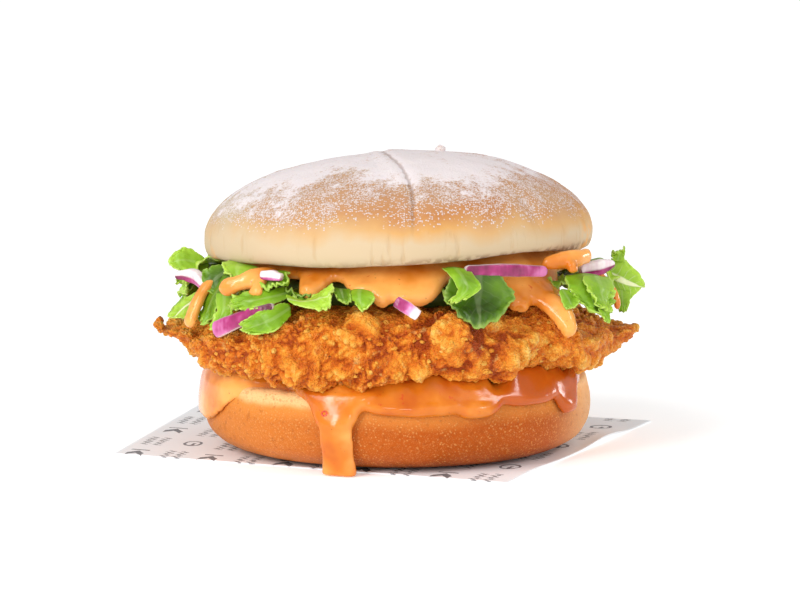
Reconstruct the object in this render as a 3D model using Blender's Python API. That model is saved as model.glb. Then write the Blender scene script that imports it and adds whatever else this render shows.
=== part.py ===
"""Chicken burger in a floured roll, laid on its sheet of burger paper.

Metres, +Z up, front towards -Y. The origin is on the table, under the roll's axis.
An azimuth is counted from the front, and grows towards +X.
From the table up: paper, heel (lower half of the roll), sauce, chicken, lettuce with
onion, sauce again, and crown (upper half of the roll). Neighbours keep a small gap.
"""

import math
import random

import bmesh
import bpy
from mathutils import Matrix, Vector, noise
from mathutils.bvhtree import BVHTree

GAP = 0.00035
SHORTEST_EDGE = 0.00003

PAPER_THICKNESS = 0.0003
PAPER_LEFT = Vector((-0.0795, -0.0210))
PAPER_FRONT = Vector((0.0285, -0.0625))
PAPER_RIGHT = Vector((0.0775, 0.0330))
PAPER_BACK = Vector((-0.0500, 0.0950))
PAPER_LIFT = 0.0055
PAPER_FLAT_RADIUS = 0.0520
PAPER_CELLS = (14, 12)

ROLL_RADIUS = 0.0560
HEEL_BASE = PAPER_THICKNESS + GAP
HEEL_TOP = 0.0216
HEEL_FOOT_RADIUS = 0.0415
HEEL_BULGE_HEIGHT = 0.0130
HEEL_FOOT_POWER = 2.3
HEEL_RIM_RADIUS = 0.0022
HEEL_RIM_INSET = 0.0012
HEEL_TRIANGLES = 850

CROWN_BASE = 0.0552
CROWN_TOP = 0.0850
CROWN_BULGE_HEIGHT = 0.0610
CROWN_EDGE_RADIUS = 0.0505
CROWN_DOME_POWER = 2.35
CROWN_RISE_TO_RIGHT = 0.0175
CREASE_DEPTH = 0.0011
CREASE_HALF_WIDTH = 0.0015
CROWN_FOLD_AZIMUTH = math.radians(43)
CROWN_FOLD_DEPTH = 0.0008
CROWN_SAG = 0.0008
CROWN_TRIANGLES = 1300

CHICKEN_LEFT = 0.0650
CHICKEN_RIGHT = 0.0640
CHICKEN_FRONT = 0.0585
CHICKEN_BACK = 0.0560
CHICKEN_BASE = 0.0242
CHICKEN_TOP = 0.0452
CHICKEN_SHOULDER_POWER = 3.6
CHICKEN_FOOT_POWER = 5.0
CHICKEN_CALM_SHARE = 0.80
CHICKEN_TRIANGLES = 3000
# Azimuth in degrees, height, reach of the lump and how far it stands out.
CHICKEN_LUMPS = (
    (-27, 0.0330, 0.0150, 0.0020),
    (-50, 0.0300, 0.0110, 0.0010),
    (-4, 0.0300, 0.0090, 0.0012),
    (17, 0.0365, 0.0075, 0.0036),
    (31, 0.0320, 0.0070, 0.0032),
    (50, 0.0360, 0.0080, 0.0022),
    (66, 0.0310, 0.0090, 0.0018),
    (8, 0.0330, 0.0040, -0.0026),
    (40, 0.0280, 0.0050, -0.0030),
    (-72, 0.0310, 0.0050, -0.0012),
)

SAUCE_GAP = 0.0005
SAUCE_FILM = 0.0013
SAUCE_BEAD = 0.0028
SAUCE_BEND = 0.0024
HEEL_SAUCE_LEAST = 0.0036
HEEL_SAUCE_TRIANGLES = 1150
# Middle azimuth and half width of each run of sauce in degrees, and its length.
HEEL_SAUCE_RUNS = (
    (-76, 18, 0.0095),
    (-48, 10, 0.0010),
    (-17, 7, 0.0080),
    (6, 18, 0.0048),
    (24, 9, 0.0052),
    (40, 12, 0.0030),
    (59, 8, 0.0060),
    (118, 14, 0.0050),
    (150, 10, 0.0090),
    (188, 18, 0.0035),
    (214, 8, 0.0070),
    (240, 14, 0.0030),
)
DRIP_AZIMUTH = math.radians(-16.5)
DRIP_HALF_WIDTH = 0.0046
DRIP_DEPTH = 0.0026
DRIP_FOOT_RADIUS = 0.0548

TOP_SAUCE_BASE = 0.0515
TOP_SAUCE_RADIUS = 0.0486
TOP_SAUCE_RIM = 0.0012
TOP_SAUCE_FILM = 0.0024
TOP_SAUCE_LEAST = 0.0010
TOP_SAUCE_CLEARANCE = 0.0008
TOP_SAUCE_TRIANGLES = 1350
TOP_SAUCE_RUNS = (
    (-65, 3.2, 0.0190),
    (-44, 6, 0.0055),
    (-22.5, 3.0, 0.0086),
    (-8, 7, 0.0058),
    (3, 10, 0.0072),
    (37, 7, 0.0100),
    (46, 3.8, 0.0165),
    (80, 3, 0.0100),
    (128, 9, 0.0060),
    (158, 4, 0.0120),
    (186, 12, 0.0070),
    (226, 5, 0.0110),
    (244, 9, 0.0045),
)

LETTUCE_CORE_RADIUS = 0.0462
LETTUCE_CORE_TOP = 0.0508
LETTUCE_CORE_RIM = 0.0007
LEAF_ROOT_RADIUS = 0.0400
LEAF_THICKNESS = 0.0008
LEAF_CELLS = (5, 5)
LEAF_CLEARANCE = 0.0016
# Leaves and onion stay this far under the upper sauce and the crown's round edge.
UNDER_SAUCE = 0.0022
SAUCE_EDGE_RADIUS = 0.0520
SAUCE_EDGE_SLOPE = 2.1
OPEN_RADIUS = 0.0540
UNDER_CROWN = 0.0014
# They ease to a stop this far behind a curtain of the upper sauce.
BEHIND_CURTAIN = 0.0018
CURTAIN_EASE = 0.0040
BELOW_CURTAIN_TOP = 0.0021
OUTSIDE_SAUCE = 0.0016
SETTLE_REACH = 0.0030
# Azimuth and twist in degrees, width, height of the root, radius and height of the
# knee and of the tip; depth and number of the ruffles, and their phase.
LEAVES = (
    (-90, 80, 0.0140, 0.0485, 0.0560, 0.0500, 0.0665, 0.0530, 0.0014, 1.1, 0.3),
    (-95, 45, 0.0110, 0.0480, 0.0560, 0.0480, 0.0670, 0.0445, 0.0014, 1.4, 1.1),
    (-69, 20, 0.0170, 0.0480, 0.0580, 0.0490, 0.0630, 0.0400, 0.0024, 1.5, 1.9),
    (-57, 0, 0.0180, 0.0475, 0.0560, 0.0500, 0.0600, 0.0385, 0.0022, 1.6, 0.0),
    (-47, 6, 0.0160, 0.0470, 0.0540, 0.0475, 0.0570, 0.0400, 0.0018, 1.8, 2.2),
    (-40, 0, 0.0130, 0.0475, 0.0570, 0.0445, 0.0540, 0.0545, 0.0012, 1.6, 4.0),
    (-33, 0, 0.0130, 0.0480, 0.0550, 0.0490, 0.0575, 0.0440, 0.0022, 1.7, 2.9),
    (-18, 0, 0.0110, 0.0480, 0.0540, 0.0480, 0.0565, 0.0450, 0.0012, 1.3, 1.0),
    (14, 0, 0.0150, 0.0480, 0.0575, 0.0430, 0.0550, 0.0540, 0.0010, 1.0, 3.1),
    (20, 0, 0.0120, 0.0480, 0.0560, 0.0490, 0.0585, 0.0430, 0.0014, 1.3, 0.5),
    (70, 10, 0.0180, 0.0485, 0.0570, 0.0500, 0.0620, 0.0400, 0.0024, 2.1, 0.4),
    (75, 0, 0.0150, 0.0485, 0.0580, 0.0440, 0.0580, 0.0540, 0.0016, 1.9, 2.4),
    (91, 80, 0.0180, 0.0480, 0.0570, 0.0500, 0.0715, 0.0500, 0.0014, 1.3, 1.2),
)
BACK_LEAVES = (108, 142, 171, 207, 236, 256)

ONION_EDGE = 0.00025
# For each strip of onion: azimuth, radius and height of its two ends, its tallness
# and thickness, and how far its middle bows outwards.
ONIONS = (
    (-76, 0.0640, 0.0505, -68, 0.0565, 0.0470, 0.0034, 0.0028, 0.0002),
    (-50, 0.0642, 0.0376, -33, 0.0606, 0.0453, 0.0040, 0.0020, 0.0010),
    (-39, 0.0570, 0.0529, -33, 0.0570, 0.0526, 0.0026, 0.0020, 0.0002),
    (-1, 0.0580, 0.0474, 5, 0.0597, 0.0436, 0.0030, 0.0020, 0.0000),
    (23, 0.0555, 0.0549, 46, 0.0552, 0.0534, 0.0034, 0.0022, 0.0010),
    (62, 0.0570, 0.0524, 69, 0.0636, 0.0543, 0.0034, 0.0026, 0.0002),
    (118, 0.0545, 0.0525, 136, 0.0540, 0.0515, 0.0036, 0.0020, 0.0012),
    (155, 0.0540, 0.0490, 166, 0.0570, 0.0440, 0.0032, 0.0020, 0.0004),
    (198, 0.0545, 0.0520, 216, 0.0545, 0.0515, 0.0036, 0.0020, 0.0012),
    (221, 0.0580, 0.0490, 230, 0.0600, 0.0450, 0.0032, 0.0020, 0.0004),
)


def outward(azimuth):
    """The level unit vector at this azimuth."""
    return Vector((math.sin(azimuth), -math.cos(azimuth), 0))


def polar(azimuth, radius, height):
    return outward(azimuth) * radius + Vector((0, 0, height))


def azimuth_of(point):
    return math.atan2(point.x, -point.y)


def smooth(low, high, value):
    share = max(0.0, min(1.0, (value - low) / (high - low)))
    return share * share * (3 - 2 * share)


def angle_between(a, b):
    return abs((a - b + math.pi) % (2 * math.pi) - math.pi)


def bump(distance, reach):
    return math.exp(-((distance / reach) ** 2))


def wander(place):
    """A smooth random vector, with each part between -1 and 1."""
    shifts = (Vector((9.3, 1.5, 7.9)), Vector((2.1, 6.4, 3.8)), Vector((5.7, 8.2, 0.6)))
    return Vector([noise.noise(place + shift) for shift in shifts])


def superellipse(share, power):
    """The quarter curve from (1, 0) at share 0 to (0, 1) at share 1."""
    angle = share * math.pi / 2
    return math.cos(angle) ** (2 / power), math.sin(angle) ** (2 / power)


def evenly(points, count):
    """This many (radius, height) points, spread evenly along the line through points."""
    lengths = [math.dist(a, b) for a, b in zip(points, points[1:])]
    step = sum(lengths) / (count - 1)
    spread = []
    for i in range(count - 1):
        left = step * i
        for (a, b), length in zip(zip(points, points[1:]), lengths):
            if left <= length:
                break
            left -= length
        share = left / length
        spread.append((a[0] + (b[0] - a[0]) * share, a[1] + (b[1] - a[1]) * share))
    return spread + [points[-1]]


def principled(name, colour, roughness):
    material = bpy.data.materials.new(name)
    material.use_nodes = True
    shader = material.node_tree.nodes["Principled BSDF"]
    shader.inputs["Base Color"].default_value = (*colour, 1)
    shader.inputs["Roughness"].default_value = roughness
    material.diffuse_color = (*colour, 1)
    return material


def add_object(name, bm, material=None):
    """An object from the bmesh, with its faces pointing outwards."""
    bmesh.ops.recalc_face_normals(bm, faces=bm.faces)
    mesh = bpy.data.meshes.new(name)
    bm.to_mesh(mesh)
    bm.free()
    mesh.shade_smooth()
    if material:
        mesh.materials.append(material)
    made = bpy.data.objects.new(name, mesh)
    bpy.context.scene.collection.objects.link(made)
    return made


def decimate(made, triangles):
    """Leaves about this many triangles, kept where the surface bends."""
    made.data.calc_loop_triangles()
    modifier = made.modifiers.new("Decimate", "DECIMATE")
    modifier.ratio = min(1.0, triangles / len(made.data.loop_triangles))
    modifier.use_collapse_triangulate = True


def evaluated_mesh(made):
    """A new mesh with the object's modifiers applied."""
    bpy.context.view_layer.update()
    graph = bpy.context.evaluated_depsgraph_get()
    return bpy.data.meshes.new_from_object(made.evaluated_get(graph))


def tree_of(made):
    """For finding the nearest point of the object's surface."""
    bpy.context.view_layer.update()
    return BVHTree.FromObject(made, bpy.context.evaluated_depsgraph_get())


def clean_union(mesh):
    """Drops the very short edges and the small closed pockets that a union leaves."""
    bm = bmesh.new()
    bm.from_mesh(mesh)
    bmesh.ops.triangulate(bm, faces=bm.faces)
    bmesh.ops.dissolve_degenerate(bm, dist=SHORTEST_EDGE, edges=bm.edges)
    bmesh.ops.triangulate(bm, faces=bm.faces)
    left = set(bm.faces)
    shells = []
    while left:
        shell = set()
        reached = [left.pop()]
        while reached:
            face = reached.pop()
            shell.add(face)
            for edge in face.edges:
                for other in edge.link_faces:
                    if other in left and len(edge.link_faces) == 2:
                        left.discard(other)
                        reached.append(other)
        shells.append(shell)
    shells.sort(key=len)
    for shell in shells[:-1]:
        bmesh.ops.delete(bm, geom=list(shell), context="FACES")
    bm.to_mesh(mesh)
    bm.free()


def fuse(name, pieces, material):
    """One object from pieces that overlap."""
    extra = bpy.data.collections.new(name + "_pieces")
    bpy.context.scene.collection.children.link(extra)
    base = pieces[0]
    for piece in pieces[1:]:
        bpy.context.scene.collection.objects.unlink(piece)
        extra.objects.link(piece)
    join = base.modifiers.new("Join", "BOOLEAN")
    join.operation = "UNION"
    join.operand_type = "COLLECTION"
    join.collection = extra
    join.solver = "MANIFOLD"
    mesh = evaluated_mesh(base)
    for piece in pieces:
        bpy.data.objects.remove(piece)
    bpy.data.collections.remove(extra)
    clean_union(mesh)
    mesh.name = name
    mesh.materials.clear()
    mesh.materials.append(material)
    made = bpy.data.objects.new(name, mesh)
    bpy.context.scene.collection.objects.link(made)
    return made


def round_solid(name, segments, section, material=None):
    """A closed solid round the Z axis. section(azimuth) lists (radius, height) from its
    upper pole to its lower pole, with as many points at every azimuth."""
    bm = bmesh.new()
    columns = []
    poles = [bm.verts.new((0, 0, section(0)[end][1])) for end in (0, -1)]
    for i in range(segments):
        azimuth = 2 * math.pi * i / segments
        columns.append([bm.verts.new(polar(azimuth, *point)) for point in section(azimuth)[1:-1]])
    for here, after in zip(columns, columns[1:] + columns[:1]):
        bm.faces.new((poles[0], here[0], after[0]))
        bm.faces.new((poles[1], after[-1], here[-1]))
        for j in range(len(here) - 1):
            bm.faces.new((here[j], here[j + 1], after[j + 1], after[j]))
    return add_object(name, bm, material)


def make_paper(material):
    """A thin sheet, flat under the roll, whose right edge lifts off the table."""
    bm = bmesh.new()
    bmesh.ops.create_grid(bm, x_segments=PAPER_CELLS[0], y_segments=PAPER_CELLS[1], size=0.5)
    for vertex in bm.verts:
        u, v = vertex.co.x + 0.5, vertex.co.y + 0.5
        near = PAPER_LEFT.lerp(PAPER_FRONT, u)
        far = PAPER_BACK.lerp(PAPER_RIGHT, u)
        place = near.lerp(far, v)
        away = smooth(PAPER_FLAT_RADIUS, PAPER_FLAT_RADIUS + 0.018, place.length)
        ripple = smooth(0.55, 1.0, u) * math.sin(math.pi * min(1.0, v * 1.15)) ** 2
        corner = 0.25 * smooth(0.8, 1.0, v) * smooth(0.3, 0.0, u)
        lift = PAPER_LIFT * away * (ripple + corner)
        vertex.co = (place.x, place.y, PAPER_THICKNESS / 2 + lift)
    bmesh.ops.triangulate(bm, faces=bm.faces)
    sheet = add_object("paper", bm, material)
    thick = sheet.modifiers.new("Thickness", "SOLIDIFY")
    thick.thickness = PAPER_THICKNESS
    thick.offset = 0


def roll_swell(azimuth):
    """How much wider or narrower than round the roll is."""
    return 1 + 0.010 * math.sin(2 * azimuth + 0.6) + 0.006 * math.sin(3 * azimuth + 2.0)


def heel_side(azimuth):
    """The heel's outline from its cut face, over the rim and down to the foot."""
    radius = ROLL_RADIUS * roll_swell(azimuth + 1.0)
    rim = radius - HEEL_RIM_INSET
    points = []
    steps = 4
    for i in range(steps + 1):
        across, up = superellipse(1 - i / steps, 2)
        points.append((rim - HEEL_RIM_RADIUS * (1 - across), HEEL_TOP - HEEL_RIM_RADIUS * (1 - up)))
    points.append((radius - 0.0002, HEEL_BULGE_HEIGHT + 0.002))
    steps = 8
    for i in range(steps + 1):
        across, down = superellipse(i / steps, HEEL_FOOT_POWER)
        foot = HEEL_FOOT_RADIUS + (radius - HEEL_FOOT_RADIUS) * across
        points.append((foot, HEEL_BULGE_HEIGHT - (HEEL_BULGE_HEIGHT - HEEL_BASE) * down))
    return points


def heel_section(azimuth):
    side = heel_side(azimuth)
    rim = side[0][0]
    top = [(rim * share, HEEL_TOP) for share in (0, 0.3, 0.6, 0.85)]
    return top + side + [(HEEL_FOOT_RADIUS * 0.5, HEEL_BASE), (0, HEEL_BASE)]


def make_heel(material):
    heel = round_solid("bun_heel", 72, heel_section, material)
    decimate(heel, HEEL_TRIANGLES)


def crown_section(azimuth):
    """From the top of the dome, down the side, round the edge and under the cut face."""
    radius = ROLL_RADIUS * roll_swell(azimuth)
    edge = CROWN_EDGE_RADIUS * roll_swell(azimuth)
    dome = []
    steps = 40
    for i in range(steps + 1):
        across, up = superellipse(1 - i / steps, CROWN_DOME_POWER)
        dome.append((radius * across, CROWN_BULGE_HEIGHT + (CROWN_TOP - CROWN_BULGE_HEIGHT) * up))
    under = []
    steps = 6
    for i in range(1, steps + 1):
        across, down = superellipse(i / steps, 2)
        height = CROWN_BULGE_HEIGHT - (CROWN_BULGE_HEIGHT - CROWN_BASE) * down
        under.append((edge + (radius - edge) * across, height))
    face = [(edge * share, CROWN_BASE) for share in (0.8, 0.4, 0)]
    return evenly(dome, 36) + under + face


def crease_offset(point):
    """Distance from the baker's crease, which runs over the dome from front to back."""
    return point.x - (-0.0045 + 0.0085 * smooth(0.0, 0.050, -point.y))


def make_crown(material):
    crown = round_solid("bun_crown", 160, crown_section, material)
    for vertex in crown.data.vertices:
        place = vertex.co.copy()
        above = smooth(CROWN_BULGE_HEIGHT - 0.001, CROWN_BULGE_HEIGHT + 0.012, place.z)
        crease = CREASE_DEPTH * bump(crease_offset(place), CREASE_HALF_WIDTH)
        low_side = 1 - smooth(0.070, 0.078, place.z)
        beside = angle_between(azimuth_of(place), CROWN_FOLD_AZIMUTH)
        fold = CROWN_FOLD_DEPTH * bump(beside, 0.035) * low_side
        sag = CROWN_SAG * noise.noise(place * 45 + Vector((3, 1, 7)))
        facing = Vector((place.x * 0.6, place.y * 0.6, place.z - CROWN_BASE)).normalized()
        vertex.co += facing * (sag - crease - fold) * above
        vertex.co.z += place.x * CROWN_RISE_TO_RIGHT
    decimate(crown, CROWN_TRIANGLES)
    return crown


def chicken_reach(azimuth):
    """How far the fillet's outline lies from the axis, pointed at both ends."""
    side = CHICKEN_RIGHT if math.sin(azimuth) > 0 else CHICKEN_LEFT
    ahead = CHICKEN_FRONT if math.cos(azimuth) > 0 else CHICKEN_BACK
    across = abs(math.sin(azimuth)) / side
    along = abs(math.cos(azimuth)) / ahead
    reach = (across**2 + along**2) ** -0.5
    left_tip = 0.0060 * bump(angle_between(azimuth, math.radians(-88)), 0.20)
    right_tip = 0.0040 * bump(angle_between(azimuth, math.radians(86)), 0.16)
    return reach + left_tip + right_tip


def chicken_top_at(x):
    """The fillet's upper face, which falls towards both ends."""
    return CHICKEN_TOP - 0.0105 * smooth(0.024, 0.066, -x) - 0.0080 * smooth(0.034, 0.068, x)


def chicken_base_at(x):
    return CHICKEN_BASE + 0.0080 * smooth(0.056, 0.072, abs(x))


def chicken_crags(place, azimuth):
    """Height of the coating's lumps over the plain fillet."""
    height = 0.0016 * noise.noise(place * 75)
    for degrees, level, reach, stand in CHICKEN_LUMPS:
        along = angle_between(azimuth, math.radians(degrees)) * CHICKEN_FRONT
        height += stand * bump(math.hypot(along, place.z - level), reach)
    for size, depth in ((0.0105, 0.0032), (0.0055, 0.0019)):
        warped = place / size + wander(place * 110) * 0.55
        height += depth * (0.45 - noise.voronoi(warped)[0][0])
    return height


def make_chicken(material):
    bm = bmesh.new()
    bmesh.ops.create_icosphere(bm, subdivisions=7, radius=1)
    for vertex in bm.verts:
        azimuth = azimuth_of(vertex.co)
        level, rise = math.hypot(vertex.co.x, vertex.co.y), abs(vertex.co.z)
        upper = vertex.co.z > 0
        power = CHICKEN_SHOULDER_POWER if upper else CHICKEN_FOOT_POWER
        scale = (level**power + rise**power) ** (-1 / power)
        across, up = level * scale, rise * scale
        flat = outward(azimuth) * chicken_reach(azimuth) * across
        low, high = chicken_base_at(flat.x), chicken_top_at(flat.x)
        half = (high - low) / 2
        facing = outward(azimuth) * across ** (power - 1) * half / CHICKEN_FRONT
        facing.z = up ** (power - 1)
        if not upper:
            up = -up
            facing.z = -facing.z
        place = Vector((flat.x, flat.y, (low + high) / 2 + half * up))
        rough = smooth(CHICKEN_CALM_SHARE, 0.92, across)
        facing = Vector((facing.x * 3, facing.y * 3, facing.z)).normalized()
        vertex.co = place + facing * chicken_crags(place, azimuth) * rough
        vertex.co.z = max(vertex.co.z, CHICKEN_BASE - 0.0002)
    chicken = add_object("chicken", bm, material)
    decimate(chicken, CHICKEN_TRIANGLES)
    return chicken


def run_length(azimuth, runs):
    """How far the sauce comes down at this azimuth."""
    length = 0
    for middle, half_width, reach in runs:
        share = angle_between(azimuth, math.radians(middle)) / math.radians(half_width)
        length = max(length, reach * math.exp(-(share**4) * 1.2))
    return length


def walk(points, distance):
    """The point this far along a (radius, height) line, and the normal on its left."""
    for a, b in zip(points, points[1:]):
        step = math.dist(a, b)
        if distance <= step or b == points[-1]:
            share = distance / step
            point = (a[0] + (b[0] - a[0]) * share, a[1] + (b[1] - a[1]) * share)
            return point, ((a[1] - b[1]) / step, (b[0] - a[0]) / step)
        distance -= step
    raise ValueError("no line to walk along")


def sauce_section(side, length, film, bead, top_at, gap=SAUCE_GAP):
    """A film over a level face that runs over its rim and ends in a rounded bead.
    side is the outline from the rim down, and top_at(radius) the film's upper face."""
    rim, level = side[0]
    upper = [(rim * share, top_at(rim * share)) for share in (0, 0.5, 0.8, 0.92)]
    lower = [(rim * 0.8, level + gap), (0, level + gap)]
    bend = min(SAUCE_BEND, length / 2)
    stops = [bend * share for share in (0, 0.33, 0.67, 1)]
    stops += [bend + (length - bend) * share for share in (0.25, 0.5, 0.75, 0.9, 1.0)]
    for along in stops:
        (radius, height), normal = walk(side, along)
        thick = film + (bead - film) * smooth(0.2, 0.8, along / length)
        left = max(0.0, min(1.0, (length - along) / (bead * 0.7)))
        thick *= 0.15 + 0.85 * math.sqrt(1 - (1 - left) ** 2)
        upper.append((radius + normal[0] * (gap + thick), height + normal[1] * (gap + thick)))
        lower.insert(0, (radius + normal[0] * gap, height + normal[1] * gap))
    return upper + lower


def heel_sauce_section(azimuth):
    length = HEEL_SAUCE_LEAST + run_length(azimuth, HEEL_SAUCE_RUNS)
    top = HEEL_TOP + GAP + SAUCE_FILM
    return sauce_section(heel_side(azimuth), length, SAUCE_FILM, SAUCE_BEAD, lambda radius: top)


def make_long_drip():
    """The run of sauce that falls over the heel's side and stands on the table."""
    side = heel_side(DRIP_AZIMUTH)
    path = []
    for distance in (0.0005, 0.0025, 0.0050, 0.0080, 0.0115):
        (radius, height), normal = walk(side, distance)
        stand = SAUCE_GAP + DRIP_DEPTH * 0.5
        path.append((radius + normal[0] * stand, height + normal[1] * stand))
    last = path[-1]
    for share in (0.35, 0.7, 0.9, 1.0):
        path.append((last[0] + (DRIP_FOOT_RADIUS - last[0]) * share, last[1] * (1 - share)))
    widths = (1.9, 1.55, 1.25, 1.0, 0.92, 0.88, 0.90, 0.98, 1.04)
    around = 12
    bm = bmesh.new()
    rings = []
    for (radius, height), width in zip(path, widths):
        centre = polar(DRIP_AZIMUTH, radius, height)
        tangent = outward(DRIP_AZIMUTH + math.pi / 2)
        ring = []
        for k in range(around):
            turn = 2 * math.pi * k / around
            offset = tangent * math.cos(turn) * DRIP_HALF_WIDTH * width
            offset += outward(DRIP_AZIMUTH) * math.sin(turn) * DRIP_DEPTH * 0.5
            ring.append(bm.verts.new(centre + offset))
        rings.append(ring)
    for here, after in zip(rings, rings[1:]):
        for k in range(around):
            bm.faces.new((here[k], here[k - 1], after[k - 1], after[k]))
    bm.faces.new(rings[0])
    bm.faces.new(rings[-1])
    return add_object("long_drip", bm)


def make_heel_sauce(material):
    film = round_solid("film", 96, heel_sauce_section)
    decimate(film, HEEL_SAUCE_TRIANGLES)
    fuse("sauce_heel", [film, make_long_drip()], material)


def shoulder_outline(azimuth, tree):
    """What the upper sauce runs over: its own rim, then the chicken's shoulder."""
    points = [
        (TOP_SAUCE_RADIUS - TOP_SAUCE_RIM, TOP_SAUCE_BASE),
        (TOP_SAUCE_RADIUS, TOP_SAUCE_BASE - TOP_SAUCE_RIM),
    ]
    middle = (chicken_reach(azimuth) - 0.010, 0.0330)
    hub = polar(azimuth, *middle)
    for degrees in (62, 48, 36, 24, 12, 0, -15):
        ray = outward(azimuth) * math.cos(math.radians(degrees))
        ray.z = math.sin(math.radians(degrees))
        hit = tree.ray_cast(hub + ray * 0.05, -ray)[0]
        if hit is None:
            continue
        radius = math.hypot(hit.x, hit.y)
        if radius > points[-1][0]:
            points.append((radius + SAUCE_GAP, hit.z + SAUCE_GAP))
    return points


def make_top_sauce(chicken_tree, material):
    def section(azimuth):
        side = shoulder_outline(azimuth, chicken_tree)
        length = TOP_SAUCE_LEAST + run_length(azimuth, TOP_SAUCE_RUNS)

        def top_at(radius):
            return CROWN_BASE - GAP + radius * math.sin(azimuth) * CROWN_RISE_TO_RIGHT

        return sauce_section(side, length, TOP_SAUCE_FILM, SAUCE_BEAD, top_at)

    sauce = round_solid("sauce_crown", 120, section, material)
    for vertex in sauce.data.vertices:
        spot, normal, _, distance = chicken_tree.find_nearest(vertex.co)
        if (vertex.co - spot).dot(normal) < 0:
            distance = -distance
        if distance < TOP_SAUCE_CLEARANCE:
            vertex.co = spot + normal * TOP_SAUCE_CLEARANCE
    decimate(sauce, TOP_SAUCE_TRIANGLES)
    return sauce


def lettuce_core_section(azimuth):
    wave = 0.0008 * math.sin(5 * azimuth) + 0.0005 * math.sin(11 * azimuth + 1)
    radius = LETTUCE_CORE_RADIUS + wave
    points = [(radius * share, LETTUCE_CORE_TOP) for share in (0, 0.5, 0.9)]
    points.append((radius * 0.985, LETTUCE_CORE_TOP - LETTUCE_CORE_RIM))
    for share, drop in ((1.0, 0.6), (0.97, 1), (0.85, 1), (0.68, 1), (0.52, 1), (0.3, 1), (0, 1)):
        level = radius * share
        floor = chicken_top_at(level * math.sin(azimuth)) + 3 * GAP
        points.append((level, LETTUCE_CORE_TOP + (floor - LETTUCE_CORE_TOP) * drop))
    return points


def ceiling_at(place):
    """How high lettuce and onion may reach under the sauce and the crown's edge."""
    radius = math.hypot(place.x, place.y)
    if radius < OPEN_RADIUS:
        return TOP_SAUCE_BASE - UNDER_SAUCE + SAUCE_EDGE_SLOPE * max(0.0, radius - SAUCE_EDGE_RADIUS)
    share = (radius + UNDER_CROWN - CROWN_EDGE_RADIUS) / (ROLL_RADIUS - CROWN_EDGE_RADIUS)
    if share > 1:
        return 1.0
    dip = (CROWN_BULGE_HEIGHT - CROWN_BASE) * math.sqrt(1 - max(0.0, share) ** 2)
    return CROWN_BULGE_HEIGHT - dip - UNDER_CROWN + place.x * CROWN_RISE_TO_RIGHT


def curtain_at(tree, azimuth, height):
    """How far out the inside of the upper sauce hangs here, or None where it doesn't."""
    found = None
    for aside in (-3, 0, 3):
        for above in (0, 0.0015, 0.0030):
            level = min(height + above, TOP_SAUCE_BASE - BELOW_CURTAIN_TOP)
            ray = outward(azimuth + math.radians(aside))
            spot = tree.ray_cast(Vector((0, 0, level)), ray)[0]
            if spot:
                radius = math.hypot(spot.x, spot.y)
                found = min(found or radius, radius)
    return found


def clear_of_sauce(tree, place):
    """The place moved so that a leaf there stays behind the upper sauce's curtains."""
    azimuth = azimuth_of(place)
    radius = math.hypot(place.x, place.y)
    curtain = curtain_at(tree, azimuth, place.z)
    if curtain:
        start = curtain - BEHIND_CURTAIN - CURTAIN_EASE
        if radius > start:
            radius = start + CURTAIN_EASE * (1 - math.exp((start - radius) / CURTAIN_EASE))
        return polar(azimuth, radius, min(place.z, TOP_SAUCE_BASE - BELOW_CURTAIN_TOP))
    if place.z > TOP_SAUCE_BASE - BELOW_CURTAIN_TOP:
        outside = tree.ray_cast(polar(azimuth, 0.1, place.z), -outward(azimuth))[0]
        if outside:
            radius = max(radius, math.hypot(outside.x, outside.y) + OUTSIDE_SAUCE)
    return polar(azimuth, radius, place.z)


def settled(place, trees, distance):
    """The place pushed at least this far out of every surface."""
    for _ in range(4):
        for tree in trees:
            spot, normal, _, _ = tree.find_nearest(place)
            aside = place - spot
            inside = aside.dot(normal) < 0 and aside.length < SETTLE_REACH
            if inside or aside.length < distance:
                place = spot + (normal if inside else aside.normalized()) * distance
    return place


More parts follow.
